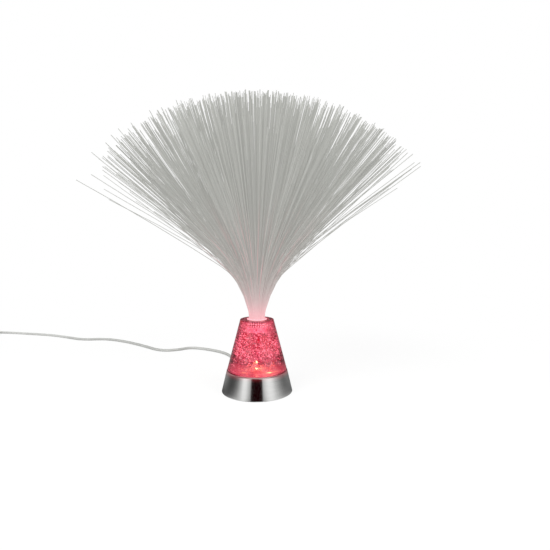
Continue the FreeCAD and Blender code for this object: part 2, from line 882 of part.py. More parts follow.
def coil_entry():
    """The cord runs into the outer turn at the coil's far side, in its lower layer."""
    diameter = s.cord_diameter.value
    outer_turn = s.coil_mean_radius.value + (s.turns_across.value - 1) / 2 * diameter
    along = COIL_CENTRE[0] + diameter * (s.turns_across / 2).value
    return Vector(along, COIL_CENTRE[1] + outer_turn, coil_bottom() + diameter / 2)


def coil_bottom():
    """The coil lies on its tie."""
    return s.tie_thickness.value


def make_cord_coil():
    """The outer shape of the wound cord: a flat ring with its corners taken off."""
    half_width = s.turns_across * s.cord_diameter / 2
    height = s.turns_high * s.cord_diameter
    corner = s.coil_corner
    inside = s.coil_mean_radius - half_width
    outside = s.coil_mean_radius + half_width
    body = revolved("cord_coil", [
        (inside + corner, ZERO),
        (outside - corner, ZERO),
        (outside, corner),
        (outside, height - corner),
        (outside - corner, height),
        (inside + corner, height),
        (inside, height - corner),
        (inside, corner),
    ])
    body.Placement = FreeCAD.Placement(Vector(*COIL_CENTRE, coil_bottom()), FreeCAD.Rotation())
    return body


def make_cord_tie():
    """Flat tie round the coil's section, on the side away from the cord's ends."""
    width = s.turns_across * s.cord_diameter
    height = s.turns_high * s.cord_diameter
    band = s.tie_thickness
    room = width + s.tie_slack * 2
    place = (s.coil_mean_radius + COIL_CENTRE[0], COIL_CENTRE[1])
    outer = block("tie_outer", room + band * 2, s.tie_width, height + band * 2, ZERO, *place)
    inner = block("tie_inner", room, s.tie_width + OVERCUT * 2, height, band, *place)
    return cut("cord_tie", outer, [inner])


def make_cord_tail():
    relief_end = Vector(ADAPTER_PLACE[0], ADAPTER_PLACE[1], s.adapter_height.value / 2)
    solid, *measured = tube([*route_points(TAIL_ROUTE), relief_end], s.cord_diameter.value)
    report_tube("cord_tail", measured)
    return solid_feature("cord_tail", solid)


# ---------------------------------------------------------------- plug-in adapter
def adapter_level(distance):
    """A y along the adapter, that far from the strain relief's end towards the pins."""
    return Size(f"({ADAPTER_PLACE[1]} - {text_of(distance)})", ADAPTER_PLACE[1] - value_of(distance))


def adapter_block(name, length, start, inset=0.0):
    """A block across the adapter that begins at a distance from the strain relief's end."""
    width = s.adapter_width - inset * 2
    tall = s.adapter_height - inset * 2
    middle = adapter_level(start + length / 2)
    return block(name, width, length, tall, inset, ADAPTER_PLACE[0], middle)


def long_edges(item):
    """The edges of a block that run along the adapter."""
    doc.recompute()
    names = []
    for index, edge in enumerate(item.Shape.Edges, start=1):
        if abs(edge.tangentAt(edge.FirstParameter).y) > 1 - TOLERANCE:
            names.append(index)
    return names


def soften(name, item, radius):
    """Fillet a block's long edges."""
    rounded = doc.addObject("Part::Fillet", name)
    rounded.Base = item
    rounded.Edges = [(index, radius.value, radius.value) for index in long_edges(item)]
    return rounded


def make_adapter_shell():
    """Rear shell of the plug-in adapter, open towards the pin plate."""
    solid = adapter_block("adapter_shell_block", s.adapter_length, s.adapter_relief_length)
    outside = soften("adapter_shell_round", solid, s.adapter_round)
    hollow_start = s.adapter_relief_length + s.adapter_wall
    hollow = adapter_block("adapter_shell_hollow", s.adapter_length, hollow_start, s.adapter_wall.value)
    return cut("adapter_shell", outside, [hollow])


def make_adapter_front():
    """Thick pin plate that closes the shell."""
    start = s.adapter_relief_length + s.adapter_length
    solid = adapter_block("adapter_front_block", s.adapter_front_thickness, start)
    plate = soften("adapter_front_round", solid, s.adapter_round)
    root = s.plug_pin_root
    holes = [plug_pin(f"pin_hole_{side + 1}", side, root, root) for side in (-1, 1)]
    return cut("adapter_front", plate, holes)


def plug_pin(name, side, root, length):
    """A cylinder along a pin's axis that starts a root's depth inside the plate's front face."""
    pin = doc.addObject("Part::Cylinder", name)
    bind(pin, {"Radius": s.plug_pin_radius, "Height": length})
    face = s.adapter_relief_length + s.adapter_length + s.adapter_front_thickness
    across = ADAPTER_PLACE[0] + side * s.plug_pin_spacing.value / 2
    base = Vector(across, adapter_level(face - root).value, s.adapter_height.value / 2)
    pin.Placement = FreeCAD.Placement(base, FreeCAD.Rotation(UP, Vector(0, -1, 0)))
    return pin


def make_adapter_pins():
    """Two round pins with rounded tips."""
    pins = []
    for side in (-1, 1):
        length = s.plug_pin_root + s.plug_pin_length - s.plug_pin_radius
        barrel = plug_pin(f"plug_pin_barrel_{side + 1}", side, s.plug_pin_root, length)
        tip = doc.addObject("Part::Sphere", f"plug_pin_tip_{side + 1}")
        bind(tip, {"Radius": s.plug_pin_radius})
        tip.Placement.Base = barrel.Placement.Base + Vector(0, -length.value, 0)
        pins.append(fuse(f"plug_pin_{side + 1}", [barrel, tip]))
    return group("adapter_pins", pins)


def make_adapter_circuit():
    """Small board with its transformer and capacitor inside the adapter."""
    middle = ADAPTER_PLACE[0]
    start = s.adapter_relief_length + s.adapter_wall + s.adapter_board_gap
    width = s.adapter_width - s.adapter_wall * 2
    length = s.adapter_length - s.adapter_wall - s.adapter_board_gap
    board = block("adapter_board", width, length, s.board_thickness, s.adapter_wall,
                  middle, adapter_level(start + length / 2))
    top = s.adapter_wall + s.board_thickness
    transformer = block("adapter_transformer", s.transformer_width, s.transformer_depth,
                        s.transformer_height, top, middle,
                        adapter_level(start + length * TRANSFORMER_SHARE))
    capacitor = cylinder("adapter_capacitor", s.adapter_capacitor_radius, s.adapter_capacitor_height, top,
                         s.adapter_capacitor_offset + middle,
                         adapter_level(start + length * ADAPTER_CAPACITOR_SHARE))
    return group("adapter_circuit", [fuse("adapter_loaded_board", [board, transformer, capacitor])])


def make_adapter_relief():
    """Tapered strain relief, thick end on the adapter's shell."""
    length = s.adapter_relief_length
    relief = doc.addObject("Part::Cone", "adapter_relief")
    bind(relief, {"Radius1": s.adapter_relief_radius, "Radius2": s.gland_nose_radius, "Height": length})
    base = Vector(ADAPTER_PLACE[0], adapter_level(length).value, s.adapter_height.value / 2)
    relief.Placement = FreeCAD.Placement(base, FreeCAD.Rotation(UP, Vector(0, 1, 0)))
    return relief


# ---------------------------------------------------------------- fibre spray
def make_fibre_collar():
    """Sleeve that grips the bound fibres and slides in the clear cone's socket, with moulded ribs."""
    corners = [(s.bundle_radius, bundle_bottom)]
    groove_radius = s.collar_radius - s.collar_rib_depth
    count = max(1, int((s.socket_depth.value - s.collar_rib_pitch.value) / s.collar_rib_pitch.value))
    for rib in range(count):
        foot = bundle_bottom + s.collar_rib_pitch * rib
        corners.append((s.collar_radius, foot))
        corners.append((s.collar_radius, foot + s.collar_rib_pitch / 2))
        corners.append((groove_radius, foot + s.collar_rib_pitch / 2))
        corners.append((groove_radius, foot + s.collar_rib_pitch))
    corners.append((s.collar_radius, bundle_bottom + s.collar_rib_pitch * count))
    corners.append((s.collar_radius, fibre_root))
    corners.append((s.bundle_radius, fibre_root))
    return revolved("fibre_collar", corners)


def make_fibre_bundle():
    """The fibres' lower ends, bound with resin into one rod."""
    return cylinder("fibre_bundle", s.bundle_radius, fibre_root - bundle_bottom, bundle_bottom)


def bundle_places(limit, pitch):
    """Places in a circle at least a pitch apart, on a spiral like a sunflower's seeds."""
    golden_angle = math.pi * (3 - math.sqrt(5))
    spiral = pitch / SPIRAL_PACKING
    places = [(0.0, 0.0)]
    for index in range(int((limit / spiral) ** 2)):
        reach = spiral * math.sqrt(index + SPIRAL_START)
        if reach <= limit:
            places.append((reach * math.cos(index * golden_angle), reach * math.sin(index * golden_angle)))
    return places


def lean_share(share):
    """The share of the spread angle that a fibre leans by, from its place in the bundle."""
    for (near, low), (far, high) in zip(LEAN_BY_PLACE, LEAN_BY_PLACE[1:]):
        if share <= far:
            return low + (high - low) * (share - near) / (far - near)
    return LEAN_BY_PLACE[-1][1]


def fibre(place, limit, length):
    """One fibre: up out of the bundle, outwards along an arc, then drooping slightly to its cut end."""
    root = Vector(*place, fibre_root.value)
    reach = math.hypot(*place)
    section = Part.Wire([Part.Circle(root, UP, s.fibre_diameter.value / 2).toShape()])
    if reach < 0.01:
        path = Part.Wire([Part.LineSegment(root, root + UP * length).toShape()])
        return path.makePipeShell([section], True, False)
    away = Vector(*place, 0).normalize()
    spread = s.spread_angle.value - s.spread_lean.value * away.x
    bend = math.radians(spread) * lean_share(reach / limit)
    radius = s.bend_radius.value - reach
    droop = math.radians(s.fibre_droop.value) * math.sin(bend) ** 2

    def arc_point(start, begin, turn, run):
        """Where an arc ends that begins at an angle from upright and turns outwards along its run."""
        outwards = math.cos(begin) - math.cos(begin + turn)
        upwards = math.sin(begin + turn) - math.sin(begin)
        return start + (away * outwards + UP * upwards) * (run / turn)

    arc_end = arc_point(root, 0.0, bend, radius * bend)
    run = length - radius * bend
    arc = Part.Arc(root, arc_point(root, 0.0, bend / 2, radius * bend / 2), arc_end).toShape()
    if droop < MIN_DROOP:
        tip = arc_end + (away * math.sin(bend) + UP * math.cos(bend)) * run
        rest = Part.LineSegment(arc_end, tip).toShape()
    else:
        middle = arc_point(arc_end, bend, droop / 2, run / 2)
        rest = Part.Arc(arc_end, middle, arc_point(arc_end, bend, droop, run)).toShape()
    return Part.Wire([arc, rest]).makePipeShell([section], True, False)


def make_optical_fibres():
    """The free fibres, fanned out from the bundle's top face."""
    limit = (s.bundle_radius - s.fibre_diameter / 2).value
    full_length = (s.overall_height - fibre_root).value
    golden = (math.sqrt(5) - 1) / 2
    solids = []
    for index, place in enumerate(bundle_places(limit, (s.fibre_diameter + s.fibre_gap).value)):
        length = full_length - s.fibre_unevenness.value * (index * golden % 1)
        solids.append(Part.Solid(fibre(place, limit, length)))
    print(f"optical_fibres: {len(solids)} fibres, {full_length:.1f} mm free length")
    return solid_feature("optical_fibres", Part.makeCompound(solids))


# ---------------------------------------------------------------- build, check and write
def build():
    items = [
        make_base_pad(), make_bottom_cover(), make_cover_screws(), make_inner_frame(), make_foot_ring(),
        make_acrylic_cone(), make_reflector(), make_led_board(), make_board_screws(),
        make_board_components(),
    ]
    items += [make_led(number) for number in range(REPEATS)]
    items += [
        make_switch_body(), make_switch_nut(), make_switch_button(), make_cord_gland(),
        make_supply_wires(), make_switch_wires(), make_cord(), make_cord_coil(), make_cord_tie(),
        make_cord_tail(),
        make_adapter_shell(), make_adapter_front(), make_adapter_pins(), make_adapter_circuit(),
        make_adapter_relief(), make_fibre_collar(), make_fibre_bundle(), make_optical_fibres(),
    ]
    for item in items:
        item.Label = item.Name
    doc.recompute()
    return items


def check(items):
    for item in doc.Objects:
        if "Invalid" in item.State or "Error" in item.State:
            raise RuntimeError(f"{item.Name} failed: {item.State}")
    for item in items:
        if item.Shape.isNull() or not item.Shape.isValid() or not item.Shape.Solids:
            raise RuntimeError(f"{item.Label} has no valid solid")


def export(items):
    os.makedirs("parts", exist_ok=True)
    for item in items:
        item.Shape.exportStep(f"parts/{item.Label}.step")
        box = item.Shape.BoundBox
        print(f"{item.Label}: {len(item.Shape.Solids)} solids, {item.Shape.Volume / 1000:.2f} cm3, "
              f"z {box.ZMin:.2f} to {box.ZMax:.2f}")


pieces = build()
check(pieces)
export(pieces)
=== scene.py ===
"""Looks of a fibre optic table lamp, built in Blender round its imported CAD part.

Metres, +Z up, front towards -Y, with the origin under the foot, as in the CAD part.
"""

import logging
import math
import random
from dataclasses import dataclass
from enum import Enum
from typing import Callable, Iterable, Sequence, Union

import bmesh
import bpy
from mathutils import Matrix, Vector


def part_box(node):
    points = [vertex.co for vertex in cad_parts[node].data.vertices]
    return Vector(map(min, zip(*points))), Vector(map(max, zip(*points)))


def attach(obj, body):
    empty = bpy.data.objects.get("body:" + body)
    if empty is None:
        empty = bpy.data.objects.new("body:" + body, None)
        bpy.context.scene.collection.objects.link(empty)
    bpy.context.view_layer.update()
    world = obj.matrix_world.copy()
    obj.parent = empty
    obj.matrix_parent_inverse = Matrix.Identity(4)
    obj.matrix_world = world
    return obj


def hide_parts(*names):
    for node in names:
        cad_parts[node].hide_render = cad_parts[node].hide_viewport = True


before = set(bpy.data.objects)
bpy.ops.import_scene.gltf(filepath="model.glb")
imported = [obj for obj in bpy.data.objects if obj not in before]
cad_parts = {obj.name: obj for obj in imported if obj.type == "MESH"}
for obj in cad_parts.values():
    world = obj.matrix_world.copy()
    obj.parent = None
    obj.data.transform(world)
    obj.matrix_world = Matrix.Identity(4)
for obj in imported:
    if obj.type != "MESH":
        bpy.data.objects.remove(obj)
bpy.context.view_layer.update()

LOG = logging.getLogger("fibre_lamp")
UP = Vector((0.0, 0.0, 1.0))
GOLDEN = (math.sqrt(5) - 1) / 2
GOLDEN_TURN = math.pi * (3 - math.sqrt(5))
SOFT_EDGE = 0.0003
LEDS = ((0.0104, -0.006), (0.0, 0.012), (-0.0104, -0.006))
STRAND = "strand"
BLACK = (0.0, 0.0, 0.0)
WHITE = (1.0, 1.0, 1.0)

Colour = tuple[float, float, float]
Place = tuple[float, float, float]
Scale = tuple[float, float, float]
Span = tuple[float, float]
Stop = tuple[float, float]
Number = Union[float, "Wire"]


class Body(str, Enum):
    """The CAD bodies that new pieces ride on."""

    ROOT = "root"
    SPRAY = "spray"


# ---------------------------------------------------------------- shader building
def math_step(operation: str, on_right: bool = False) -> Callable[["Wire", Number], "Wire"]:
    """A Python operator for wires, which adds a Math node.

    Args:
        operation: The node's operation.
        on_right: Whether the wire stands on the operator's right.

    Returns:
        The operator's method.
    """

    def step(wire: "Wire", other: Number) -> "Wire":
        """Add the node to the wire's graph."""
        first, second = (other, wire) if on_right else (wire, other)
        return wire.graph.add("ShaderNodeMath", {0: first, 1: second}, operation=operation)

    return step


class Wire:
    """A shader socket that takes part in Python arithmetic, each step adding a Math node."""

    __add__ = math_step("ADD")
    __radd__ = math_step("ADD", on_right=True)
    __sub__ = math_step("SUBTRACT")
    __rsub__ = math_step("SUBTRACT", on_right=True)
    __mul__ = math_step("MULTIPLY")
    __rmul__ = math_step("MULTIPLY", on_right=True)
    __truediv__ = math_step("DIVIDE")
    __rtruediv__ = math_step("DIVIDE", on_right=True)
    __pow__ = math_step("POWER")

    def __init__(self, graph: "Graph", socket: bpy.types.NodeSocket) -> None:
        """Wrap an output socket of a graph's node."""
        self.graph = graph
        self.socket = socket


class Graph:
    """The node tree of one material, or of the world."""

    def __init__(self, name: str, world: bool = False) -> None:
        """Start an empty tree.

        Args:
            name: The name of the new material or world.
            world: Whether it belongs to a world.
        """
        self.owner = bpy.data.worlds.new(name) if world else bpy.data.materials.new(name)
        self.output = "ShaderNodeOutputWorld" if world else "ShaderNodeOutputMaterial"
        self.owner.use_nodes = True
        self.tree = self.owner.node_tree
        self.tree.nodes.clear()

    def add(
        self,
        kind: str,
        sockets: dict[int | str, object] | None = None,
        result: int | str = 0,
        stops: Sequence[tuple[float, Colour]] = (),
        **settings: object,
    ) -> Wire:
        """Add a node.

        Args:
            kind: The node's type.
            sockets: Values or wires for its inputs, by name or number.
            result: Which output to hand back.
            stops: A colour ramp's places and colours.
            settings: The node's own settings, set before its sockets.

        Returns:
            The chosen output.
        """
        node = self.tree.nodes.new(kind)
        for name, value in settings.items():
            setattr(node, name, value)
        if stops:
            marks = node.color_ramp.elements
            while len(marks) < len(stops):
                marks.new(1.0)
            for mark, (place, colour) in zip(marks, stops):
                mark.position = place
                mark.color = (*colour, 1.0)
        for name, value in (sockets or {}).items():
            if isinstance(value, Wire):
                self.tree.links.new(value.socket, node.inputs[name])
            else:
                node.inputs[name].default_value = value
        return Wire(self, node.outputs[result])

    def place(self) -> Wire:
        """The surface point in the piece's own coordinates."""
        return self.add("ShaderNodeTexCoord", result="Object")

    def scaled(self, scale: Scale) -> Wire:
        """The surface point, stretched by a scale for each axis."""
        return self.add("ShaderNodeMapping", {"Vector": self.place(), "Scale": scale})

    def axes(self) -> tuple[Wire, ...]:
        """The three coordinates of the surface point."""
        first = self.add("ShaderNodeSeparateXYZ", {0: self.place()})
        return tuple(Wire(self, output) for output in first.socket.node.outputs)

    def from_point(self, point: Place | Vector) -> Wire:
        """The distance of the surface point from a point."""
        sockets = {0: self.place(), 1: tuple(point)}
        return self.add("ShaderNodeVectorMath", sockets, result="Value", operation="DISTANCE")

    def core(self, radius: float) -> Wire:
        """1 inside a cylinder about the upright axis and 0 outside it."""
        x, y, _ = self.axes()
        return self.fall(x * x + y * y, radius ** 2, (radius + SOFT_EDGE) ** 2)

    def wavering(self, scale: float, reach: float) -> Wire:
        """The surface point, pushed about by soft noise.

        Args:
            scale: The noise's scale.
            reach: Twice the furthest push.

        Returns:
            The moved point.
        """
        sockets = {"Vector": self.place(), "Scale": scale, "Detail": 2.0}
        push = self.add("ShaderNodeTexNoise", sockets, result="Color")
        push = self.add("ShaderNodeVectorMath", {0: push, 1: (0.5,) * 3}, operation="SUBTRACT")
        sockets = {0: push, 1: (reach,) * 3, 2: self.place()}
        return self.add("ShaderNodeVectorMath", sockets, operation="MULTIPLY_ADD")

    def noise(self, vector: Wire, scale: float, detail: float = 2.0) -> Wire:
        """Cloudy noise from 0 to 1."""
        sockets = {"Vector": vector, "Scale": scale, "Detail": detail}
        return self.add("ShaderNodeTexNoise", sockets)

    def cells(self, vector: Wire, scale: float, feature: str = "F1") -> Wire:
        """Distance pattern of irregular cells."""
        sockets = {"Vector": vector, "Scale": scale}
        return self.add("ShaderNodeTexVoronoi", sockets, result="Distance", feature=feature)

    def ease(self, value: Wire, low: float, high: float) -> Wire:
        """A smooth step from 0 at low to 1 at high."""
        sockets = {"Value": value, "From Min": low, "From Max": high}
        return self.add("ShaderNodeMapRange", sockets, interpolation_type="SMOOTHSTEP")

    def fall(self, value: Wire, low: float, high: float) -> Wire:
        """A smooth step from 1 at low to 0 at high."""
        return 1.0 - self.ease(value, low, high)

    def ramp(self, value: Wire, stops: Sequence[tuple[float, Colour]]) -> Wire:
        """Colours along a value."""
        return self.add("ShaderNodeValToRGB", {"Fac": value}, stops=stops)

    def tones(self, value: Wire, colour: Colour, *stops: Stop) -> Wire:
        """Darker and lighter tones of a colour along a value, each stop a place and a factor."""
        return self.ramp(value, [(place, shade(colour, factor)) for place, factor in stops])

    def blend(self, share: Number, first: Colour | Wire, second: Colour | Wire) -> Wire:
        """Mix two colours by a share of the second."""
        pair = [c if isinstance(c, Wire) else (*c, 1.0) for c in (first, second)]
        return self.add("ShaderNodeMix", {0: share, 6: pair[0], 7: pair[1]}, 2, data_type="RGBA")

    def attribute(self, name: str) -> Wire:
        """A number stored on the mesh's points."""
        return self.add("ShaderNodeAttribute", result="Fac", attribute_name=name)

    def bump(self, height: Wire, strength: float, distance: float) -> Wire:
        """A normal from a height pattern."""
        sockets = {"Height": height, "Strength": strength, "Distance": distance}
        return self.add("ShaderNodeBump", sockets)

    def close(self, shader: Wire) -> bpy.types.Material | bpy.types.World:
        """Join a shader to the output.

        Args:
            shader: The shader.

        Returns:
            The finished material or world.
        """
        node = self.tree.nodes.new(self.output)
        self.tree.links.new(shader.socket, node.inputs["Surface"])
        return self.owner

    def seen_share(self, camera: float = 1.0) -> Wire:
        """Whether a ray comes from the camera, straight or by way of a mirror or glass.

        Args:
            camera: The answer for straight camera rays.

        Returns:
            1 for such rays and 0 for the rest.
        """
        seen = self.add("ShaderNodeLightPath", result="Is Camera Ray") * camera
        for kind in ("Is Glossy Ray", "Is Transmission Ray"):
            seen = seen + self.add("ShaderNodeLightPath", result=kind)
        return seen

    def surface(self, **sockets: object) -> bpy.types.Material:
        """Close the graph with a principled shader.

        Args:
            sockets: Its sockets, with underscores for the spaces in their names.

        Returns:
            The finished material.
        """
        named = {name.replace("_", " "): value for name, value in sockets.items()}
        return self.close(self.add("ShaderNodeBsdfPrincipled", named))


# ---------------------------------------------------------------- finishes
def shown(level: float) -> float:
    """The linear value of a level as a screen shows it, both from 0 to 1."""
    return level / 12.92 if level <= 0.04045 else ((level + 0.055) / 1.055) ** 2.4


def shade(colour: Colour, amount: float) -> Colour:
    """A colour made lighter or darker by a factor, kept within 0 and 1."""
    return tuple(min(1.0, max(0.0, part * amount)) for part in colour)


@dataclass(frozen=True)
class Finish:
    """What all finishes share: a name, and a material made from their fields."""

    name: str

    def material(self) -> bpy.types.Material:
        """Make the material.

        Returns:
            The material, under the finish's name.
        """
        raise NotImplementedError


@dataclass(frozen=True)
class TurnedSteel(Finish):
    """Steel brushed round the piece's own axis, so reflections smear up and down."""

    colour: Colour = (0.80, 0.80, 0.79)
    roughness: float = 0.22
    line_scale: Scale = (60.0, 60.0, 9000.0)
    wisp_scale: Scale = (25.0, 25.0, 2250.0)
    line_depth: float = 0.0000006
    lip: float = 0.0243
    lip_run: float = 0.0013
    lip_round: float = 0.0009
    # Painted reflection: the band under the lip gets the cone's red light as emission, in place of
    # its reflection in the steel.
    lit_band: float = 0.007
    painted_cone_reflection: Colour = (0.16, 0.018, 0.022)

    def material(self) -> bpy.types.Material:
        """Make the material.

        Returns:
            The material, under the finish's name.
        """
        graph = Graph(self.name)
        height = graph.axes()[2]
        # Painted reflection of the cone's red light, strongest at the lip.
        painted_reflection_share = graph.ease(height, self.lip - self.lit_band, self.lip) ** 2.0
        rounding = graph.ease(height, self.lip - self.lip_run, self.lip)
        lines = graph.noise(graph.scaled(self.line_scale), 1.0, 3.0)
        wisps = graph.noise(graph.scaled(self.wisp_scale), 1.0, 2.0)
        tone = graph.tones(lines * 0.6 + wisps * 0.4, self.colour, (0.32, 0.88), (0.68, 1.08))
        return graph.surface(
            Base_Color=tone,
            Metallic=1.0,
            Roughness=self.roughness + (wisps - 0.5) * 0.06,
            Anisotropic=1.0,
            Anisotropic_Rotation=0.25,
            Emission_Color=graph.blend(painted_reflection_share, BLACK, self.painted_cone_reflection),
            Emission_Strength=1.0,
            Normal=graph.bump(lines * self.line_depth - rounding * self.lip_round, 1.0, 1.0),
        )


@dataclass(frozen=True)
class Grained(Finish):
    """A plain colour in cloudy tones, with a fine grain that dulls it and stands out a little."""

    colour: Colour
    roughness: float = 0.45
    metallic: float = 0.0
    tone_scale: float = 60.0
    tone_detail: float = 3.0
    tone_range: Span = (0.93, 1.05)
    grain_scale: float = 2400.0
    grain_run: Scale = (1.0, 1.0, 1.0)
    grain_dullness: float = 0.16
    grain_strength: float = 0.3
    grain_depth: float = 0.000008
    # Painted glow, black and off unless given: emission that stands in for light falling on the
    # part.
    glow: Colour = BLACK
    glow_strength: float = 0.0

    def material(self) -> bpy.types.Material:
        """Make the material.

        Returns:
            The material, under the finish's name.
        """
        graph = Graph(self.name)
        clouds = graph.noise(graph.place(), self.tone_scale, self.tone_detail)
        grain = graph.noise(graph.scaled(self.grain_run), self.grain_scale, 2.0)
        dark, pale = self.tone_range
        return graph.surface(
            Base_Color=graph.tones(clouds, self.colour, (0.3, dark), (0.7, pale)),
            Metallic=self.metallic,
            Roughness=self.roughness + (grain - 0.5) * self.grain_dullness,
            Normal=graph.bump(grain, self.grain_strength, self.grain_depth),
            Emission_Color=(*self.glow, 1.0),
            Emission_Strength=self.glow_strength,
        )


@dataclass(frozen=True)
class MouldedPlastic(Grained):
    """Injection-moulded plastic with a fine spark-eroded grain and slight mottling."""


@dataclass(frozen=True)
class PlatedMetal(Grained):
    """Small plated parts: screws, nut and plug pins, with fine wear and scratches."""

    metallic: float = 1.0
    tone_scale: float = 900.0
    tone_detail: float = 4.0
    tone_range: Span = (0.8, 1.1)
    grain_scale: float = 400.0
    grain_run: Scale = (1.0, 15.0, 1.0)
    grain_dullness: float = 0.15
    grain_strength: float = 0.15
    grain_depth: float = 0.00002


@dataclass(frozen=True)
class SoftVinyl(Grained):
    """Soft PVC of cord and wires, with faint drag marks and specks."""

    colour: Colour = (0.42, 0.425, 0.41)
    roughness: float = 0.42
    tone_scale: float = 45.0
    tone_range: Span = (0.92, 1.06)
    grain_scale: float = 1500.0
    grain_dullness: float = 0.2
    grain_strength: float = 0.2
    grain_depth: float = 0.00005


@dataclass(frozen=True)
class PadFoam(Finish):
    """Closed-cell foam of the base pad."""

    colour: Colour = (0.035, 0.035, 0.036)
    pore_scale: float = 1600.0

    def material(self) -> bpy.types.Material:
        """Make the material.

        Returns:
            The material, under the finish's name.
        """
        graph = Graph(self.name)
        pores = graph.cells(graph.place(), self.pore_scale)
        tone = graph.tones(pores, self.colour, (0.1, 0.5), (0.6, 1.5))
        return graph.surface(Base_Color=tone, Roughness=0.85, Normal=graph.bump(pores, 0.6, 0.0002))


@dataclass(frozen=True)
class SolderMask(Finish):
    """Green circuit board with copper tracks showing paler under the lacquer."""

    colour: Colour = (0.02, 0.13, 0.06)
    track: Colour = (0.07, 0.27, 0.11)
    track_scale: float = 260.0
    track_edge: Span = (0.10, 0.14)
    flattened: Scale = (1.0, 1.0, 0.02)

    def material(self) -> bpy.types.Material:
        """Make the material.

        Returns:
            The material, under the finish's name.
        """
        graph = Graph(self.name)
        edges = graph.cells(graph.scaled(self.flattened), self.track_scale, "DISTANCE_TO_EDGE")
        tracks = graph.ease(edges, *self.track_edge)
        tone = graph.blend(tracks, self.track, self.colour)
        relief = graph.bump(1.0 - tracks, 0.4, 0.00004)
        return graph.surface(Base_Color=tone, Roughness=0.3, Normal=relief)


@dataclass(frozen=True)
class LampResin(Finish):
    """Clear LED epoxy round its lit chip."""

    lit: Colour = (1.0, 0.72, 0.38)
    rim: Colour = (1.0, 0.10, 0.14)
    strength: float = 0.7
    lit_from: Span = (0.0167, 0.0203)
    swirl_scale: float = 700.0

    def material(self) -> bpy.types.Material:
        """Make the material.

        Returns:
            The material, under the finish's name.
        """
        graph = Graph(self.name)
        height = graph.axes()[2]
        near_top = graph.ease(height, *self.lit_from)
        swirl = graph.noise(graph.place(), self.swirl_scale, 1.0)
        return graph.surface(
            Base_Color=graph.blend(swirl, shade(self.rim, 0.8), self.lit),
            Roughness=0.12,
            Emission_Color=graph.blend(near_top, shade(self.rim, 0.35), self.lit),
            Emission_Strength=self.strength,
        )


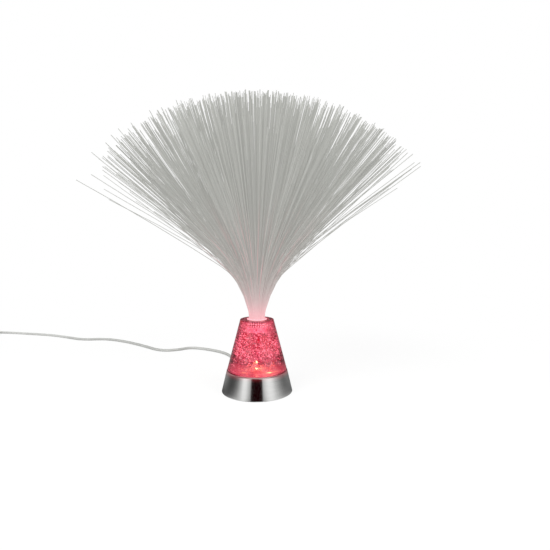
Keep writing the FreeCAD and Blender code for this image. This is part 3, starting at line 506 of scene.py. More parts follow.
@dataclass(frozen=True)
class BubbledAcrylic(Finish):
    """Clear acrylic with the LEDs' red light painted in: painted glow on its crackle, painted shade
    at its edges.

    The flat, frosted roof of the recess over the LEDs has their light painted on it as bright spots
    and halos.
    """

    # Painted light: the LEDs' red as the colour of what the clear acrylic lets through, deeper in
    # patches and streaks; the darkest is painted shade at the outline, top rim and lower corners.
    painted_light_colour: Colour = (0.66, 0.090, 0.140)
    painted_deep_light_colour: Colour = (0.38, 0.022, 0.048)
    painted_shade_colour: Colour = (0.10, 0.008, 0.018)
    clear: Colour = (1.0, 0.93, 0.88)
    # Painted glow in emission: faint in the body, brighter on the crackle, dim where shade is
    # painted, stronger in the seat above the lip; then the LEDs' spots and halos on the roof.
    glow: Colour = (0.013, 0.0012, 0.0026)
    mark_glow: Colour = (0.046, 0.022, 0.026)
    painted_shade_glow: Colour = (0.003, 0.0003, 0.0006)
    seat_glow: Colour = (0.075, 0.030, 0.036)
    lamp_glow: Colour = (1.0, 0.78, 0.24)
    halo_glow: Colour = (0.20, 0.17, 0.075)
    strength: float = 6.0
    crackle_scale: float = 330.0
    crack_width: Span = (0.01, 0.09)
    bent_scale: float = 260.0
    patch_scale: float = 190.0
    patch_cut: Span = (0.36, 0.52)
    cloud_scale: float = 110.0
    cloud_cut: Span = (0.36, 0.58)
    streak_scale: Scale = (70.0, 70.0, 1500.0)
    streak_cut: Span = (0.48, 0.60)
    # Where the painted shade sets in, by how obliquely the surface is seen: at the sides and at the
    # lower corners.
    side_start: Span = (0.08, 0.30)
    side_full: Span = (0.24, 0.5)
    wedge_start: Span = (0.10, 0.24)
    crackle_start: Span = (0.026, 0.036)
    clear_foot: Span = (0.029, 0.034)
    waver_scale: float = 300.0
    waver: float = 0.006
    recess_top: float = 0.022
    recess_radius: float = 0.0261
    roof_fade: Span = (0.0222, 0.0226)
    roof_frost: float = 0.25
    seat_fade: Span = (0.0243, 0.0253)
    wedge_fade: Span = (0.0247, 0.0269)
    bore_start: Span = (0.0660, 0.0663)
    socket_radius: float = 0.01096
    mouth: Span = (0.0801, 0.0803)
    top_rim: Span = (0.0785, 0.0797)
    roughness: float = 0.02
    refraction: float = 1.49
    mark_relief: float = 0.0002
    lamp_shares: tuple[float, ...] = (1.0, 0.6, 0.15)
    spot: float = 0.0016
    halo: float = 0.007

    def material(self) -> bpy.types.Material:
        """Make the material.

        Returns:
            The material, under the finish's name.
        """
        graph = Graph(self.name)
        height = graph.axes()[2]
        marks = self._crackle(graph, height)
        low = graph.fall(height, *self.clear_foot)
        # Deeper painted light in streaks across the clear foot.
        streaks = graph.noise(graph.scaled(self.streak_scale), 1.0, 2.0)
        bands = low * graph.ease(streaks, *self.streak_cut)
        # Painted shade: darker towards the outline and on the top rim, less so low down, and darker
        # at the lower corners.
        grazing = graph.add("ShaderNodeLayerWeight", {"Blend": 0.35}, result="Facing")
        sides = graph.ease(grazing, *self.side_start) * 0.3
        sides = sides + graph.ease(grazing, *self.side_full) * 0.65
        edge = sides * (1.0 - low * 0.35) + graph.ease(height, *self.top_rim)
        corner_shade = graph.ease(grazing, *self.wedge_start) * graph.fall(height, *self.wedge_fade)
        roof, bore = self._hollows(graph, height)
        # The LEDs' light painted on the roof as spots and halos.
        spots, halos = self._lamp_light(graph, roof)
        # Painted glow in the seat just above the steel lip.
        seat = graph.fall(height, *self.seat_fade) * (1.0 - roof)
        # The LEDs' red painted into what the acrylic lets through: deeper in random patches and in
        # the streaks, darkest where shade is painted.
        clouds = graph.noise(graph.place(), self.cloud_scale, 3.0)
        painted_light_colour = graph.blend(graph.ease(clouds, *self.cloud_cut), self.painted_deep_light_colour, self.painted_light_colour)
        painted_light_colour = graph.blend(bands, painted_light_colour, self.painted_deep_light_colour)
        painted_light_colour = graph.blend(edge + corner_shade, painted_light_colour, self.painted_shade_colour)
        # Painted glow: faint in the body, brighter on the crackle, dimmed where shade is painted,
        # then the seat and the halos.
        glow = graph.blend(marks * 0.8, self.glow, self.mark_glow)
        glow = graph.blend(edge * 0.9 + bands * 0.15, glow, self.painted_shade_glow)
        glow = graph.blend(seat * (1.0 - sides) * (1.0 - bands * 0.6), glow, self.seat_glow)
        glow = graph.blend(corner_shade, glow, self.painted_shade_glow)
        glow = graph.blend(halos, glow, self.halo_glow)
        return graph.surface(
            Base_Color=graph.blend(roof + bore, painted_light_colour, self.clear),
            Roughness=self.roughness + roof * self.roof_frost,
            IOR=self.refraction,
            Transmission_Weight=1.0,
            Emission_Color=graph.blend(spots, glow, self.lamp_glow),
            Emission_Strength=self.strength,
            Normal=graph.bump(marks, 0.25, self.mark_relief),
        )

    def _crackle(self, graph: Graph, height: Wire) -> Wire:
        """Pattern of the fine crackle, in patches above the clear foot of the cone.

        Args:
            graph: The material's graph.
            height: The surface point's height.

        Returns:
            1 on a mark and 0 elsewhere.
        """
        bent = graph.noise(graph.place(), self.bent_scale, 2.0)
        moved = graph.wavering(self.waver_scale, self.waver)
        cracks = graph.cells(moved, self.crackle_scale, "DISTANCE_TO_EDGE")
        marks = graph.fall(cracks + (bent - 0.5) * 0.3, *self.crack_width)
        patches = graph.noise(graph.place(), self.patch_scale, 2.0)
        patches = graph.ease(patches, *self.patch_cut)
        return marks * patches * graph.ease(height, *self.crackle_start)

    def _hollows(self, graph: Graph, height: Wire) -> tuple[Wire, Wire]:
        """The surfaces of the two hollows that stay clear.

        Args:
            graph: The material's graph.
            height: The surface point's height.

        Returns:
            1 on the roof of the recess over the LEDs, and 1 in the spray's socket.
        """
        roof = graph.fall(height, *self.roof_fade) * graph.core(self.recess_radius)
        bore = graph.ease(height, *self.bore_start) * graph.fall(height, *self.mouth)
        return roof, bore * graph.core(self.socket_radius)

    def _lamp_light(self, graph: Graph, roof: Wire) -> tuple[Wire, Wire]:
        """Patterns of the LEDs' light painted on the roof of the recess.

        Args:
            graph: The material's graph.
            roof: 1 on the roof and 0 elsewhere.

        Returns:
            The bright spots and the wider halos round them.
        """
        spots, halos = 0.0, 0.0
        for place, share in zip(LEDS, self.lamp_shares):
            away = graph.from_point((*place, self.recess_top))
            spots = spots + share / (1.0 + (away / self.spot) ** 4.0)
            halos = halos + 0.5 * share / (1.0 + (away / self.halo) ** 3.0)
        return spots * roof, halos * roof


@dataclass(frozen=True)
class BubbleSkin(Finish):
    """Wall of an air bubble in the acrylic, painted with a glow of the LEDs' light, pale or deep.
    """

    pale: Colour
    deep: Colour
    strength: float
    patch_scale: float = 420.0
    patch_cut: Span = (0.4, 0.6)

    def material(self) -> bpy.types.Material:
        """Make the material.

        Returns:
            The material, under the finish's name.
        """
        graph = Graph(self.name)
        patches = graph.noise(graph.place(), self.patch_scale, 1.0)
        # Painted light: the same colours serve as the bubble's colour and its glow.
        glow = graph.blend(graph.ease(patches, *self.patch_cut), self.deep, self.pale)
        return graph.surface(
            Base_Color=glow,
            Roughness=0.1,
            Emission_Color=glow,
            Emission_Strength=self.strength,
        )


@dataclass(frozen=True)
class FibreStrand(Finish):
    """Optical fibre, grey against a white room, with a painted grey glow along its run and a
    painted pink glow near the neck.
    """

    neck: Vector
    body: Colour = (0.175, 0.177, 0.168)
    # Painted light: an even grey glow that fills the shade inside the spray, and a pink glow that
    # fades from the neck, reaching further on some fibres.
    painted_fill_light: Colour = (0.243, 0.247, 0.232)
    lit: Colour = (0.80, 0.33, 0.38)
    fade: float = 0.018
    fade_power: float = 2.3
    long_pink_glow_strands: Span = (0.87, 0.93)
    long_pink_glow_share: float = 0.42
    long_pink_glow_fade: Span = (3.0, 8.5)

    def material(self) -> bpy.types.Material:
        """Make the material.

        Returns:
            The material, under the finish's name.
        """
        graph = Graph(self.name)
        strand = graph.attribute(STRAND)
        # Painted pink glow near the neck, with a painted grey fill light along the rest of each
        # fibre.
        reach = graph.from_point(self.neck) / self.fade
        glow = 1.0 / (1.0 + reach ** self.fade_power)
        long_pink_glow = graph.ease(strand, *self.long_pink_glow_strands) * graph.fall(reach, *self.long_pink_glow_fade)
        tone = graph.tones(strand, self.body, (0.0, 0.72), (1.0, 1.28))
        painted_fill_light = graph.tones(strand, self.painted_fill_light, (0.0, 0.93), (1.0, 1.07))
        return graph.surface(
            Base_Color=tone,
            Roughness=0.42,
            Emission_Color=graph.blend(glow + long_pink_glow * self.long_pink_glow_share, painted_fill_light, self.lit),
            Emission_Strength=1.0,
        )


@dataclass(frozen=True)
class BoundEnds(Finish):
    """Polished ends of the bound fibres: round cells, each with painted light in its middle."""

    resin: Colour = (0.75, 0.35, 0.40)
    core: Colour = (1.0, 0.72, 0.76)
    end_scale: float = 1300.0
    core_edge: Span = (0.35, 0.55)
    strength: float = 0.35

    def material(self) -> bpy.types.Material:
        """Make the material.

        Returns:
            The material, under the finish's name.
        """
        graph = Graph(self.name)
        ends = graph.cells(graph.scaled((1.0, 1.0, 0.0)), self.end_scale)
        # Painted light: the cells' colours glow as emission too.
        tone = graph.blend(graph.fall(ends, *self.core_edge), self.resin, self.core)
        return graph.surface(
            Base_Color=tone,
            Roughness=0.25,
            Emission_Color=tone,
            Emission_Strength=self.strength,
        )


@dataclass(frozen=True)
class GlowingSleeve(Finish):
    """Translucent collar with painted light: bright inside the socket, lit pips in rows above a
    plain band, and painted shade between the pips.
    """

    colour: Colour = (0.90, 0.62, 0.66)
    # Painted glow of the LEDs' light, and painted shade between the pips in both glow and colour.
    top_glow: Colour = (0.165, 0.040, 0.055)
    socket_glow: Colour = (0.40, 0.17, 0.23)
    pip_glow: Colour = (0.82, 0.78, 0.82)
    gap_glow: Colour = (0.08, 0.006, 0.014)
    painted_gap_shade: Colour = (0.30, 0.06, 0.09)
    strength: float = 1.9
    socket_top: float = 0.0802
    band_top: float = 0.0718
    pips: float = 30.0
    row: float = 0.0025
    pip_sides: Span = (-0.25, 0.45)
    pip_ends: Span = (-0.85, -0.35)
    grain_scale: float = 900.0

    def material(self) -> bpy.types.Material:
        """Make the material.

        Returns:
            The material, under the finish's name.
        """
        graph = Graph(self.name)
        x, y, z = graph.axes()
        turn = graph.add("ShaderNodeMath", {0: x, 1: y}, operation="ARCTAN2") * self.pips
        across = graph.add("ShaderNodeMath", {0: turn}, operation="SINE")
        along = graph.add("ShaderNodeMath", {0: z * (math.tau / self.row)}, operation="SINE")
        pips = graph.ease(across, *self.pip_sides) * graph.ease(along, *self.pip_ends)
        upper = graph.ease(z, self.band_top - SOFT_EDGE, self.band_top + SOFT_EDGE)
        # Painted glow: bright pips with dim between them above the band, an even glow in the band,
        # dimmer on the top.
        glow = graph.blend(upper, self.socket_glow, graph.blend(pips, self.gap_glow, self.pip_glow))
        top = graph.ease(z, self.socket_top, self.socket_top + SOFT_EDGE)
        grain = graph.noise(graph.place(), self.grain_scale, 2.0)
        # Painted shade between the pips, with some random grain.
        gap_shade_and_grain = upper * (1.0 - pips) * (1.0 - top) + grain * 0.2
        return graph.surface(
            Base_Color=graph.blend(gap_shade_and_grain, self.colour, self.painted_gap_shade),
            Roughness=0.35,
            Emission_Color=graph.blend(top, glow, self.top_glow),
            Emission_Strength=self.strength,
            Normal=graph.bump(pips * upper, 0.4, 0.0002),
        )


# ---------------------------------------------------------------- modelling helpers
def rigid(
    piece: bpy.types.Object, name: str, body: Body, finish: Finish
) -> bpy.types.Object:
    """Name a new piece, give it its finish and let it ride on a body.

    Args:
        piece: The finished piece, with its place in its mesh.
        name: Its name.
        body: The body it moves with.
        finish: A finish, which makes its material.

    Returns:
        The piece.
    """
    piece.name = name
    piece.data.name = name
    piece.data.materials.clear()
    piece.data.materials.append(finish.material())
    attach(piece, body.value)
    LOG.info("%s rides on %s", name, body.value)
    return piece


def dress(nodes: Iterable[str], finish: Finish) -> None:
    """Give CAD nodes one finish.

    Args:
        nodes: The nodes' names.
        finish: A finish, which makes their material.
    """
    material = finish.material()
    for node in nodes:
        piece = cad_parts[node]
        if not piece.material_slots:
            piece.data.materials.append(None)
        for slot in piece.material_slots:
            slot.material = material
        LOG.info("%s dressed in %s", node, finish.name)


def deselect() -> None:
    """Leave nothing selected, so that an operator acts on new pieces alone."""
    bpy.ops.object.select_all(action="DESELECT")


def smooth(piece: bpy.types.Object) -> None:
    """Shade a mesh's faces smooth."""
    for face in piece.data.polygons:
        face.use_smooth = True


def polar(reach: float, angle: float, height: float = 0.0) -> Vector:
    """A point at a distance from the upright axis and an angle round it."""
    return Vector((reach * math.cos(angle), reach * math.sin(angle), height))


def in_scene(name: str, data: bpy.types.ID) -> bpy.types.Object:
    """Put a new object into the scene.

    Args:
        name: Its name.
        data: Its curve, lamp or camera.

    Returns:
        The object.
    """
    holder = bpy.data.objects.new(name, data)
    bpy.context.collection.objects.link(holder)
    return holder


def round_runs(
    name: str,
    radius: float,
    rounding: int,
    runs: Iterable[Sequence[Sequence[float]]],
    bends: bool = False,
) -> bpy.types.Object:
    """Lay round cord along runs of points, with closed ends.

    Args:
        name: The new object's name.
        radius: The cord's radius.
        rounding: How finely it is rounded.
        runs: The points of each length of cord.
        bends: Whether it bends smoothly from point to point.

    Returns:
        The curve, in the scene.
    """
    curve = bpy.data.curves.new(name, "CURVE")
    curve.dimensions = "3D"
    curve.bevel_depth = radius
    curve.bevel_resolution = rounding
    curve.use_fill_caps = True
    for points in runs:
        spline = curve.splines.new("NURBS" if bends else "POLY")
        spline.points.add(len(points) - 1)
        for target, point in zip(spline.points, points):
            target.co = (*point, 1.0)
    return in_scene(name, curve)


# ---------------------------------------------------------------- fibre spray
@dataclass
class FibreSpray:
    """The fan of fibres, bent outwards just above the collar and then nearly straight.

    A fibre's place is a point in a disc of radius 1: upright in the middle, most spread at the
    edge. A lean by place gives shares of the widest lean by distance from that middle.
    """

    count: int = 1950
    root_height: float = 0.0808
    bundle_radius: float = 0.008425
    fibre_radius: float = 0.0003
    free_length: float = 0.2342
    bend_radius: float = 0.078
    spread: float = 57.0
    droop: float = 6.0
    lean: float = 2.5
    lean_by_place: tuple[Stop, ...] = ((0.0, 0.0), (0.72, 0.44), (0.95, 0.78), (1.0, 1.0))
    segments: tuple[int, int] = (6, 4)
    solid_pitch: float = 0.00093
    solid_packing: float = 1.6
    solid_start: float = 2.2
    unevenness: float = 0.006
    loose_lean: float = 3.2
    loose_lean_power: int = 8
    loose_lean_by_place: tuple[Stop, ...] = (
        (0.0, 0.0), (0.645, 0.43), (0.765, 0.565), (0.95, 0.78), (0.985, 0.88), (1.0, 1.0),
    )
    loose_segments: tuple[int, int, int] = (3, 5, 2)
    neck_share: float = 0.42
    neck_most: float = 14.0
    neck_run: float = 0.010
    slow_run: float = 0.080
    clumps: int = 150
    clump_pull: float = 0.85
    pull_power: float = 1.5
    pull_share: Span = (0.4, 1.0)
    aim_scatter: float = 0.014
    small_cut: float = 0.017
    odd_cut: float = 0.045
    odd_cut_left: float = 0.18
    odd_power: int = 4
    clump_cut: float = 0.06
    clump_power: int = 3
    seed: int = 11

    def __post_init__(self) -> None:
        """Start the source of the small differences between fibres."""
        self.picker = random.Random(self.seed)

    def build(self) -> bpy.types.Object:
        """Model the spray.

        Returns:
            The piece, in place of the CAD part's fibres.
        """
        runs = [*self._even_fibres(), *self._loose_fibres()]
        low, high = (Vector(corner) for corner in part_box("optical_fibres"))
        rim = Vector((self.fibre_radius,) * 3)
        box = list(zip(low + rim, high - rim))
        inside = [
            [[min(max(p, a), b) for p, (a, b) in zip(point, box)] for point in points]
            for points in runs
        ]
        holder = round_runs("optical_fibres_run", self.fibre_radius, 0, inside)
        deselect()
        bpy.context.view_layer.objects.active = holder
        holder.select_set(True)
        bpy.ops.object.convert(target="MESH")
        piece = bpy.context.view_layer.objects.active
        self._store_shades(piece.data, [self.picker.random() for _ in runs])
        smooth(piece)
        look = FibreStrand("optical_fibre", UP * self.root_height)
        rigid(piece, "fibre_spray", Body.SPRAY, look)
        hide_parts("optical_fibres")
        return piece

    def _store_shades(self, mesh: bpy.types.Mesh, shades: Sequence[float]) -> None:
        """Store each fibre's own shade on its points.

        Args:
            mesh: The fibres' mesh, whose points run fibre by fibre.
            shades: One number for each fibre.
        """
        points = len(mesh.vertices)
        each = points // len(shades)
        values = [shades[min(index // each, len(shades) - 1)] for index in range(points)]
        layer = mesh.attributes.new(STRAND, "FLOAT", "POINT")
        layer.data.foreach_set("value", values)

    def _even_fibres(self) -> Iterable[list[Vector]]:
        """The fibres that the CAD part has, on the same lines.

        Returns:
            A list of points for each fibre, root first.
        """
        step = self.solid_pitch / self.solid_packing / self.bundle_radius
        yield self._run(polar(0.0, 0.0), polar(0.0, 0.0), self.free_length)
        for index in range(int(step ** -2)):
            reach = step * math.sqrt(index + self.solid_start)
            if reach > 1.0:
                return
            place = polar(reach, index * GOLDEN_TURN)
            cut = self.unevenness * ((index + 1) * GOLDEN % 1)
            yield self._run(place, place, self.free_length - cut)

    def _loose_fibres(self) -> Iterable[list[Vector]]:
        """All the other fibres, which gather in clumps towards their ends.

        Returns:
            A list of points for each fibre, root first.
        """
        scatter = self.aim_scatter
        centres = [self._disc_point(index, self.clumps) for index in range(self.clumps)]
        for index in range(self.count):
            place = self._disc_point(index, self.count)
            clump = min(range(self.clumps), key=lambda number: (centres[number] - place).length)
            pull = self.clump_pull * place.length ** self.pull_power
            aim = place.lerp(centres[clump], pull * self.picker.uniform(*self.pull_share))
            aim += Vector((self.picker.gauss(0.0, scatter), self.picker.gauss(0.0, scatter), 0.0))
            if aim.length > 1.0:
                aim.normalize()
            yield self._run(place, aim, self._loose_length(aim, clump), loose=True)

    def _loose_length(self, aim: Vector, clump: int) -> float:
        """The free length of a loose fibre: uneven, and shorter on the left and in some clumps.

        Args:
            aim: Where it heads, as a point in the disc.
            clump: The number of its clump.

        Returns:
            The length.
        """
        most = self.odd_cut + self.odd_cut_left * aim.length ** self.odd_power * (1.0 - aim.x)
        uneven = self.small_cut * self.picker.random()
        odd = most * self.picker.random() ** self.odd_power
        clumped = self.clump_cut * (clump * GOLDEN % 1) * aim.length ** self.clump_power
        return self.free_length * (1.0 - uneven - odd) * (1.0 - clumped)

    def _disc_point(self, index: int, count: int) -> Vector:
        """One of a count of evenly spread points in the disc."""
        return polar(math.sqrt((index + 0.5) / count), index * GOLDEN_TURN)

    def _bend(self, aim: Vector, loose: bool) -> float:
        """How far a fibre leans at the end of its arc.

        Args:
            aim: Where it heads, as a point in the disc.
            loose: Whether it is one of the loose fibres.

        Returns:
            The angle from upright, in radians.
        """
        reach = min(aim.length, 1.0)
        lean = self.loose_lean * reach ** self.loose_lean_power if loose else self.lean
        widest = math.radians(self.spread - lean * aim.x / max(aim.length, 0.001))
        law = self.loose_lean_by_place if loose else self.lean_by_place
        for (near, low), (far, high) in zip(law, law[1:]):
            if reach <= far:
                return widest * (low + (high - low) * (reach - near) / (far - near))
        return widest

    def _run(self, place: Vector, aim: Vector, length: float, loose: bool = False) -> list[Vector]:
        """Centre line of one fibre.

        Args:
            place: Where it stands in the bundle, as a point in the disc.
            aim: Where it heads, as such a point.
            length: Its free length.
            loose: Whether it bends in two stages, quickly at the neck and then slowly.

        Returns:
            Its points, root first.
        """
        bend = self._bend(aim, loose)
        sag = math.radians(self.droop) * math.sin(bend) ** 2
        if loose:
            quick = min(bend * self.neck_share, math.radians(self.neck_most))
            runs = (self.neck_run, self.slow_run, length - self.neck_run - self.slow_run)
            stretches = zip(self.loose_segments, runs, (quick, bend - quick, sag))
        else:
            arc = (self.bend_radius - self.bundle_radius * place.length) * bend
            stretches = zip(self.segments, (arc, length - arc), (bend, sag))
        away = aim.normalized()
        point = place * self.bundle_radius + UP * self.root_height
        points = [point]
        start = 0.0
        for steps, run, turn in stretches:
            for step in range(steps):
                angle = start + turn * (step + 0.5) / steps
                point = point + (away * math.sin(angle) + UP * math.cos(angle)) * (run / steps)
                points.append(point)
            start += turn
        return points


# ---------------------------------------------------------------- clear cone
@dataclass
class GlowingCone:
    """The acrylic cone: clear, with its LEDs' red light painted in, and full of small bubbles with
    painted glow.
    """

    low: float = 0.0300
    high: float = 0.0785
    low_radius: float = 0.0306
    high_radius: float = 0.0172
    clear_wall: float = 0.0018
    settling: float = 0.006
    outwards: float = 0.25
    socket_radius: float = 0.0118
    socket_floor: float = 0.0655
    socket_gap: float = 0.002
    bright: int = 900
    bright_sizes: Span = (0.00016, 0.00034)
    shaded: int = 620
    shaded_sizes: Span = (0.00026, 0.0006)
    stretch: Span = (1.0, 2.6)
    trails: int = 46
    trail_sizes: Span = (0.00028, 0.00050)
    trail_top: float = 0.0635
    trail_drop: float = 0.014
    trail_powers: tuple[float, float] = (0.6, 1.6)
    trail_half: float = 0.003
    trail_stretch: float = 9.0
    trail_differs: Span = (0.6, 1.2)
    lamp_lit_sizes: Span = (0.00014, 0.00034)
    # Painted glints: two bright spots of the LEDs' light, placed in the middle of the acrylic.
    glints: tuple[Place, ...] = ((0.0, -0.006, 0.0339), (0.0, -0.010, 0.0278))
    glint_sizes: Span = (0.0008, 0.0010)
    lamp_bubbles: tuple[int, ...] = (26, 40, 10)
    lamp_roof: float = 0.0238
    lamp_scatter: tuple[float, float] = (0.0026, 0.0034)
    seed: int = 5

    def __post_init__(self) -> None:
        """Start the source of the bubbles' places, sizes and turns."""
        self.picker = random.Random(self.seed)

    def build(self) -> None:
        """Dress the cone and fill it with bubbles."""
        dress(["acrylic_cone"], BubbledAcrylic("bubbled_acrylic"))
        # Bubbles with painted light: bright ones as painted highlights, shaded ones and trails as
        # painted shade, lamp-lit ones over the LEDs, and the painted glints.
        pale = BubbleSkin("bright_bubble", (1.0, 0.86, 0.89), (1.0, 0.50, 0.58), 2.2)
        deep = BubbleSkin("shaded_bubble", (0.42, 0.014, 0.045), (0.20, 0.006, 0.020), 0.6)
        trail = BubbleSkin("shaded_trail", (0.50, 0.030, 0.070), (0.34, 0.012, 0.035), 0.9)
        lamp_lit = BubbleSkin("lamp_lit_bubble", (1.0, 0.62, 0.30), (1.0, 0.42, 0.24), 1.6)
        lit = BubbleSkin("lamp_glint", (1.0, 0.88, 0.30), (1.0, 0.66, 0.24), 11.0)
        glints = [Vector(place) for place in self.glints]
        self._bubbles("bright_bubbles", self._scatter(self.bright), self.bright_sizes, pale)
        self._bubbles("shaded_bubbles", self._scatter(self.shaded), self.shaded_sizes, deep)
        self._bubbles("shaded_trails", self._trail_places(), self.trail_sizes, trail, upright=True)
        self._bubbles("lamp_lit_bubbles", self._round_lamps(), self.lamp_lit_sizes, lamp_lit)
        self._bubbles("lamp_glints", glints, self.glint_sizes, lit)

    def _bubbles(
        self,
        name: str,
        places: Sequence[Vector],
        sizes: Span,
        finish: BubbleSkin,
        upright: bool = False,
    ) -> bpy.types.Object:
        """Scatter one kind of bubble through the acrylic.

        Args:
            name: The piece's name.
            places: Where they are.
            sizes: The smallest and largest bubble's radius.
            finish: Their finish.
            upright: Whether they are long and stand upright.

        Returns:
            The piece.
        """
        deselect()
        bpy.ops.mesh.primitive_ico_sphere_add(subdivisions=1, radius=1.0)
        seed_piece = bpy.context.active_object
        mesh = bmesh.new()
        for place in places:
            before = len(mesh.verts)
            mesh.from_mesh(seed_piece.data)
            mesh.verts.ensure_lookup_table()
            size = self.picker.uniform(*sizes)
            stretch = self.trail_stretch * self.picker.uniform(*self.trail_differs)
            lie = 0.0
            if not upright:
                stretch = self.picker.uniform(*self.stretch)
                lie = self.picker.uniform(0.0, math.pi)
            turn = Matrix.Rotation(self.picker.uniform(0.0, math.tau), 4, "Z")
            turn = turn @ Matrix.Rotation(lie, 4, "X")
            shape = Matrix.Diagonal((size, size, size * stretch, 1.0))
            matrix = Matrix.Translation(place) @ turn @ shape
            bmesh.ops.transform(mesh, matrix=matrix, verts=mesh.verts[before:])
        mesh.to_mesh(seed_piece.data)
        mesh.free()
        smooth(seed_piece)
        return rigid(seed_piece, name, Body.ROOT, finish)

    def _scatter(self, count: int) -> list[Vector]:
        """Places inside the acrylic, clear of its surfaces and of the spray's socket.

        Args:
            count: How many.

        Returns:
            The places, denser towards the sides.
        """
        places = []
        while len(places) < count:
            height = self.picker.uniform(self.low, self.high)
            share = (height - self.low) / (self.high - self.low)
            limit = self.low_radius + (self.high_radius - self.low_radius) * share - self.clear_wall
            reach = limit * self.picker.random() ** self.outwards
            angle = self.picker.uniform(0.0, math.tau)
            thinned = self.picker.random() > (limit / self.low_radius) ** 2
            settled = self.picker.random() > (height - self.low) / self.settling
            above_floor = height > self.socket_floor - self.socket_gap
            in_socket = above_floor and reach < self.socket_radius + self.socket_gap
            if not (thinned or settled or in_socket):
                places.append(polar(reach, angle, height))
        return places

    def _trail_places(self) -> list[Vector]:
        """Places of the upright trails below the socket.

        Returns:
            The places.
        """
        aside, down = self.trail_powers
        places = []
        for _ in range(self.trails):
            angle = self.picker.uniform(0.0, math.tau)
            reach = self.socket_radius * self.picker.random() ** aside
            height = self.trail_top - self.trail_drop * self.picker.random() ** down
            places.append(polar(reach, angle, height - self.trail_half))
        return places

    def _round_lamps(self) -> list[Vector]:
        """Places of the small bubbles right over the LEDs, painted with the LEDs' light.

        Returns:
            The places.
        """
        away, up = self.lamp_scatter
        places = []
        for (x, y), count in zip(LEDS, self.lamp_bubbles):
            for _ in range(count):
                aside = Vector((self.picker.gauss(0.0, away), self.picker.gauss(0.0, away), 0.0))
                height = self.lamp_roof + abs(self.picker.gauss(0.0, up))
                places.append(Vector((x, y, height)) + aside)
        return places


# ---------------------------------------------------------------- foot, light and switch
@dataclass
class Foot:
    """The steel ring with what it holds: pad, cover, frame, circuit board, LEDs and switch."""

    lamps: tuple[str, ...] = ("led_1", "led_2", "led_3")

    def build(self) -> None:
        """Dress the pieces of the foot."""
        black = MouldedPlastic("black_moulded", (0.03, 0.03, 0.031), 0.5)
        zinc = PlatedMetal("zinc_plate", (0.52, 0.53, 0.54), 0.395)
        # Painted light: the white reflector glows pink in emission, in place of the LEDs' light
        # falling on it.
        reflector = MouldedPlastic(
            "white_reflector", (0.82, 0.70, 0.70), 0.4, glow=(1.0, 0.16, 0.2), glow_strength=0.8
        )
        dress(["foot_ring"], TurnedSteel("turned_steel"))
        dress(["base_pad"], PadFoam("pad_foam"))
        dress(["bottom_cover", "inner_frame", "switch_body", "board_components"], black)
        dress(["cover_screws", "board_screws", "switch_nut"], zinc)
        dress(["reflector_plate"], reflector)
        dress(["led_board"], SolderMask("solder_mask"))
        dress(self.lamps, LampResin("lamp_resin"))
        dress(["switch_button"], MouldedPlastic("button_plastic", (0.07, 0.07, 0.07), 0.38))
        dress(["supply_wires", "switch_wires"], SoftVinyl("wire_vinyl", (0.5, 0.05, 0.04)))


@dataclass
class Collar:
    """The sleeve and bound root of the spray."""

    def build(self) -> None:
        """Dress the collar and the bound fibres."""
        dress(["fibre_collar"], GlowingSleeve("glowing_sleeve"))
        dress(["fibre_bundle"], BoundEnds("bound_ends"))


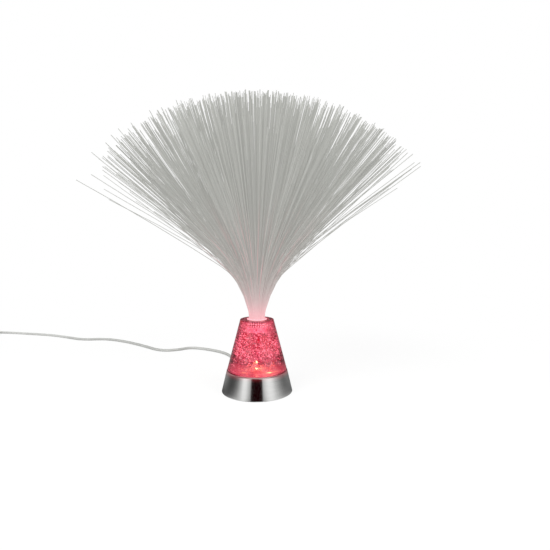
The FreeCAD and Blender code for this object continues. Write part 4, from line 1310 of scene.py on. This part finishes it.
# ---------------------------------------------------------------- cord
@dataclass
class SupplyCord:
    """The low-voltage cord from the foot to the adapter, its spare length wound in a coil."""

    exit: Place = (-0.01952, 0.05364, 0.0086)
    lead_end: Place = (-0.02329, 0.06397, 0.0086)
    diameter: float = 0.004
    length: float = 1.38
    rounding: int = 4
    bend_steps: int = 6
    laid: float = 0.0021
    route: tuple[tuple[float, ...], ...] = (
        (-0.0285, 0.079, 0.0048), (-0.032, 0.100, 0.0025), (-0.037, 0.128), (-0.050, 0.158),
        (-0.075, 0.180), (-0.108, 0.196), (-0.127, 0.178), (-0.152, 0.175), (-0.184, 0.206),
        (-0.223, 0.237), (-0.261, 0.256), (-0.297, 0.249), (-0.330, 0.268), (-0.370, 0.287),
        (-0.412, 0.297), (-0.442, 0.3045), (-0.465, 0.306, 0.0026),
    )
    coil_centre: tuple[float, float] = (-0.487, 0.280)
    coil_radius: float = 0.026
    entry_turn: float = 77.0
    turns: float = 5.297
    turn_points: int = 24
    layer_heights: Span = (0.0028, 0.0068)
    inward_steps: tuple[float, float] = (0.78, 1.78)
    layer_step: float = 2.56
    outward_steps: tuple[float, float] = (3.34, 4.34)
    step_turn: float = 0.22
    tail: tuple[Place, ...] = (
        (-0.5125, 0.2645, 0.0082), (-0.507, 0.251, 0.0114),
        (-0.500, 0.2385, 0.013), (-0.500, 0.2255, 0.013),
    )

    def build(self) -> bpy.types.Object:
        """Model the cord and dress what is on it.

        Returns:
            The piece, in place of the CAD part's cord, coil and tail.
        """
        route = [(*point, self.laid)[:3] for point in self.route]
        points = [self.exit, self.lead_end, *route, *self._coil(), *self.tail]
        cord = round_runs("supply_cord", self.diameter / 2, self.rounding, [points], bends=True)
        cord.data.resolution_u = self.bend_steps
        spline = cord.data.splines[0]
        spline.order_u = 3
        spline.use_endpoint_u = True
        rigid(cord, "supply_cord", Body.ROOT, SoftVinyl("cord_vinyl"))
        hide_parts("cord", "cord_coil", "cord_tail")
        pieces = ["cord_gland", "cord_tie", "adapter_relief", "adapter_shell", "adapter_front"]
        pieces += ["adapter_pins", "adapter_circuit"]
        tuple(self.exit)
        shell = MouldedPlastic("adapter_plastic", (0.74, 0.74, 0.72), 0.5)
        dress(["cord_gland", "adapter_relief"], SoftVinyl("relief_vinyl", (0.40, 0.405, 0.39)))
        dress(["cord_tie"], MouldedPlastic("tie_plastic", (0.08, 0.08, 0.08), 0.5))
        dress(["adapter_shell", "adapter_front"], shell)
        dress(["adapter_pins"], PlatedMetal("nickel_plate", (0.75, 0.73, 0.69), 0.275))
        dress(["adapter_circuit"], SolderMask("adapter_board"))
        return cord

    def _coil(self) -> Iterable[Place]:
        """The wound turns: inwards in the lower layer, up, and outwards in the upper one.

        Returns:
            Their points, from the lead to the tail.
        """
        low, high = self.layer_heights
        steps = round(self.turns * self.turn_points)
        for step in range(steps + 1):
            turn = self.turns * step / steps
            angle = math.radians(self.entry_turn) + math.tau * turn
            radius = self._coil_radius(turn)
            x = self.coil_centre[0] + radius * math.cos(angle)
            y = self.coil_centre[1] + radius * math.sin(angle)
            yield x, y, low + (high - low) * self._step(turn, self.layer_step)

    def _coil_radius(self, turn: float) -> float:
        """The winding's radius, which steps from one ring of cord to the next.

        Args:
            turn: How many turns are wound so far.

        Returns:
            The radius there.
        """
        inwards = sum(self._step(turn, start) for start in self.inward_steps)
        outwards = sum(self._step(turn, start) for start in self.outward_steps)
        return self.coil_radius + self.diameter * (outwards - inwards)

    def _step(self, turn: float, start: float) -> float:
        """A smooth step from 0 to 1 that begins at a turn."""
        share = min(max((turn - start) / self.step_turn, 0.0), 1.0)
        return share * share * (3 - 2 * share)


# ---------------------------------------------------------------- studio
@dataclass
class Studio:
    """Pale floor, soft light, dark flags for the metal to mirror, and the camera."""

    camera_place: Place = (0.0198, -0.504, 0.1687)
    pitch: float = 4.55
    focal_pixels: float = 464.8
    frame_pixels: float = 550.0
    sensor: float = 36.0
    room_light: float = 0.75
    lamps: tuple[tuple[str, Place, float], ...] = (
        ("key_light", (-0.9, -1.1, 1.3), 30.0), ("fill_light", (1.1, -0.9, 0.9), 18.0),
    )
    lamp_size: float = 1.2
    lamp_aim: float = 0.15
    floor_size: float = 12.0
    floor_clouds: float = 3.0
    floor_tones: Span = (0.86, 0.88)
    floor_white: float = 0.85
    floor_fade: Span = (0.02, 0.25)
    tent_radius: float = 0.42
    tent_height: float = 1.3
    tent_sink: float = 0.1
    tent_hole: float = 0.0395
    tent_floor: float = 0.0003
    tent_sides: int = 96
    tent_white: float = 0.8
    flag_level: float = 0.1
    flag_colour: Colour = (0.009, 0.0, 0.0005)
    tent_levels: tuple[Stop, ...] = (
        (-180, 0.34), (-150, 0.42), (-132, 0.50), (-118, 0.42), (-105, 0.31), (-92, 0.25),
        (-78, 0.29), (-66, 0.43), (-54, 0.68), (-44, 0.97), (-35, 0.92), (-25, 0.73),
        (-18.5, 0.66), (-17.9, 0.015), (19.4, 0.015), (20.0, 0.66), (27, 0.78), (36, 0.88),
        (45, 0.99), (54, 0.86), (66, 0.69), (78, 0.56), (92, 0.42), (106, 0.37), (123, 0.44),
        (150, 0.40), (180, 0.34),
    )

    def build(self) -> None:
        """Set up floor, world, lights, reflection tent and camera."""
        bpy.context.scene.view_settings.view_transform = "Standard"
        self._floor()
        self._room()
        self._tent()
        for name, place, power in self.lamps:
            self._lamp(name, place, power)
        self._camera()

    def _tent(self) -> None:
        """Pale walls with dark flags between them, which only mirror-like surfaces see."""
        deselect()
        bpy.ops.mesh.primitive_cylinder_add(
            vertices=self.tent_sides,
            radius=self.tent_radius,
            depth=self.tent_height,
            end_fill_type="NOTHING",
            location=(0.0, 0.0, self.tent_height / 2 - self.tent_sink),
        )
        wall = bpy.context.active_object
        bpy.ops.object.transform_apply(location=True, rotation=False, scale=False)
        deselect()
        bpy.ops.mesh.primitive_circle_add(
            vertices=self.tent_sides,
            radius=self.tent_radius,
            fill_type="NGON",
            location=(0.0, 0.0, self.tent_floor),
        )
        tent = bpy.context.active_object
        bpy.ops.object.transform_apply(location=True, rotation=False, scale=False)
        bpy.ops.object.mode_set(mode="EDIT")
        bpy.ops.mesh.inset(thickness=self.tent_radius - self.tent_hole)
        bpy.ops.mesh.delete(type="FACE")
        bpy.ops.object.mode_set(mode="OBJECT")
        wall.select_set(True)
        bpy.ops.object.join()
        tent.name = "reflection_tent"
        tent.data.materials.append(self._tent_light())
        for ray in ("camera", "diffuse", "transmission", "shadow", "volume_scatter"):
            setattr(tent, f"visible_{ray}", False)

    def _tent_light(self) -> bpy.types.Material:
        """The tent's levels of light, by the direction seen from the lamp.

        Returns:
            The material.
        """
        graph = Graph("reflection_tent")
        x, y, _ = graph.axes()
        turn = graph.add("ShaderNodeMath", {0: x, 1: 0.0 - y}, operation="ARCTAN2")
        stops = []
        for azimuth, level in self.tent_levels:
            tone = min(1.0, shown(level) / self.tent_white)
            colour = (tone,) * 3 if level > self.flag_level else self.flag_colour
            stops.append((azimuth / 360.0 + 0.5, colour))
        ramp = graph.ramp(turn / math.tau + 0.5, stops)
        return graph.close(graph.add("ShaderNodeEmission", {"Color": ramp}))

    def _floor(self) -> None:
        """A wide pale floor that keeps a soft shadow."""
        deselect()
        bpy.ops.mesh.primitive_plane_add(size=self.floor_size)
        floor = bpy.context.active_object
        floor.name = "studio_floor"
        graph = Graph("studio_floor")
        low, high = self.floor_tones
        clouds = graph.noise(graph.place(), self.floor_clouds, 1.0)
        tone = graph.tones(clouds, WHITE, (0.3, low), (0.7, high))
        matte = graph.add("ShaderNodeBsdfDiffuse", {"Color": tone})
        white = graph.add("ShaderNodeEmission", {"Color": (*WHITE, 1.0), "Strength": 1.0})
        x, y, _ = graph.axes()
        far = graph.ease(x * x + y * y, *self.floor_fade)
        seen = graph.seen_share(camera=self.floor_white) + far * (1.0 - self.floor_white)
        mixed = graph.add("ShaderNodeMixShader", {0: seen, 1: matte, 2: white})
        floor.data.materials.append(graph.close(mixed))

    def _room(self) -> None:
        """An even room light, seen as plain white."""
        graph = Graph("studio_room", world=True)
        light = graph.add("ShaderNodeBackground", {"Strength": self.room_light})
        white = graph.add("ShaderNodeBackground", {"Color": (*WHITE, 1.0), "Strength": 1.0})
        mixed = graph.add("ShaderNodeMixShader", {0: graph.seen_share(), 1: light, 2: white})
        bpy.context.scene.world = graph.close(mixed)

    def _lamp(self, name: str, place: Place, power: float) -> None:
        """A large soft lamp aimed at the spray.

        Args:
            name: Its name.
            place: Where it hangs.
            power: Its power in watts.
        """
        lamp = bpy.data.lights.new(name, "AREA")
        lamp.shape = "SQUARE"
        lamp.size = self.lamp_size
        lamp.energy = power
        holder = in_scene(name, lamp)
        holder.location = place
        aim = UP * self.lamp_aim - Vector(place)
        holder.rotation_euler = aim.to_track_quat("-Z", "Y").to_euler()
        holder.visible_glossy = False

    def _camera(self) -> None:
        """The camera, a little above the lamp's middle and looking slightly down."""
        camera = bpy.data.cameras.new("camera")
        camera.sensor_width = self.sensor
        camera.lens = self.focal_pixels / self.frame_pixels * self.sensor
        holder = in_scene("camera", camera)
        holder.location = self.camera_place
        holder.rotation_euler = (math.radians(90.0 - self.pitch), 0.0, 0.0)
        bpy.context.scene.camera = holder


def main() -> None:
    """Build the studio and the lamp's sub-assemblies in order."""
    logging.basicConfig(level=logging.INFO, format="%(name)s: %(message)s")
    Studio().build()
    SupplyCord().build()
    Foot().build()
    GlowingCone().build()
    Collar().build()
    FibreSpray().build()


if __name__ == "__main__":
    main()
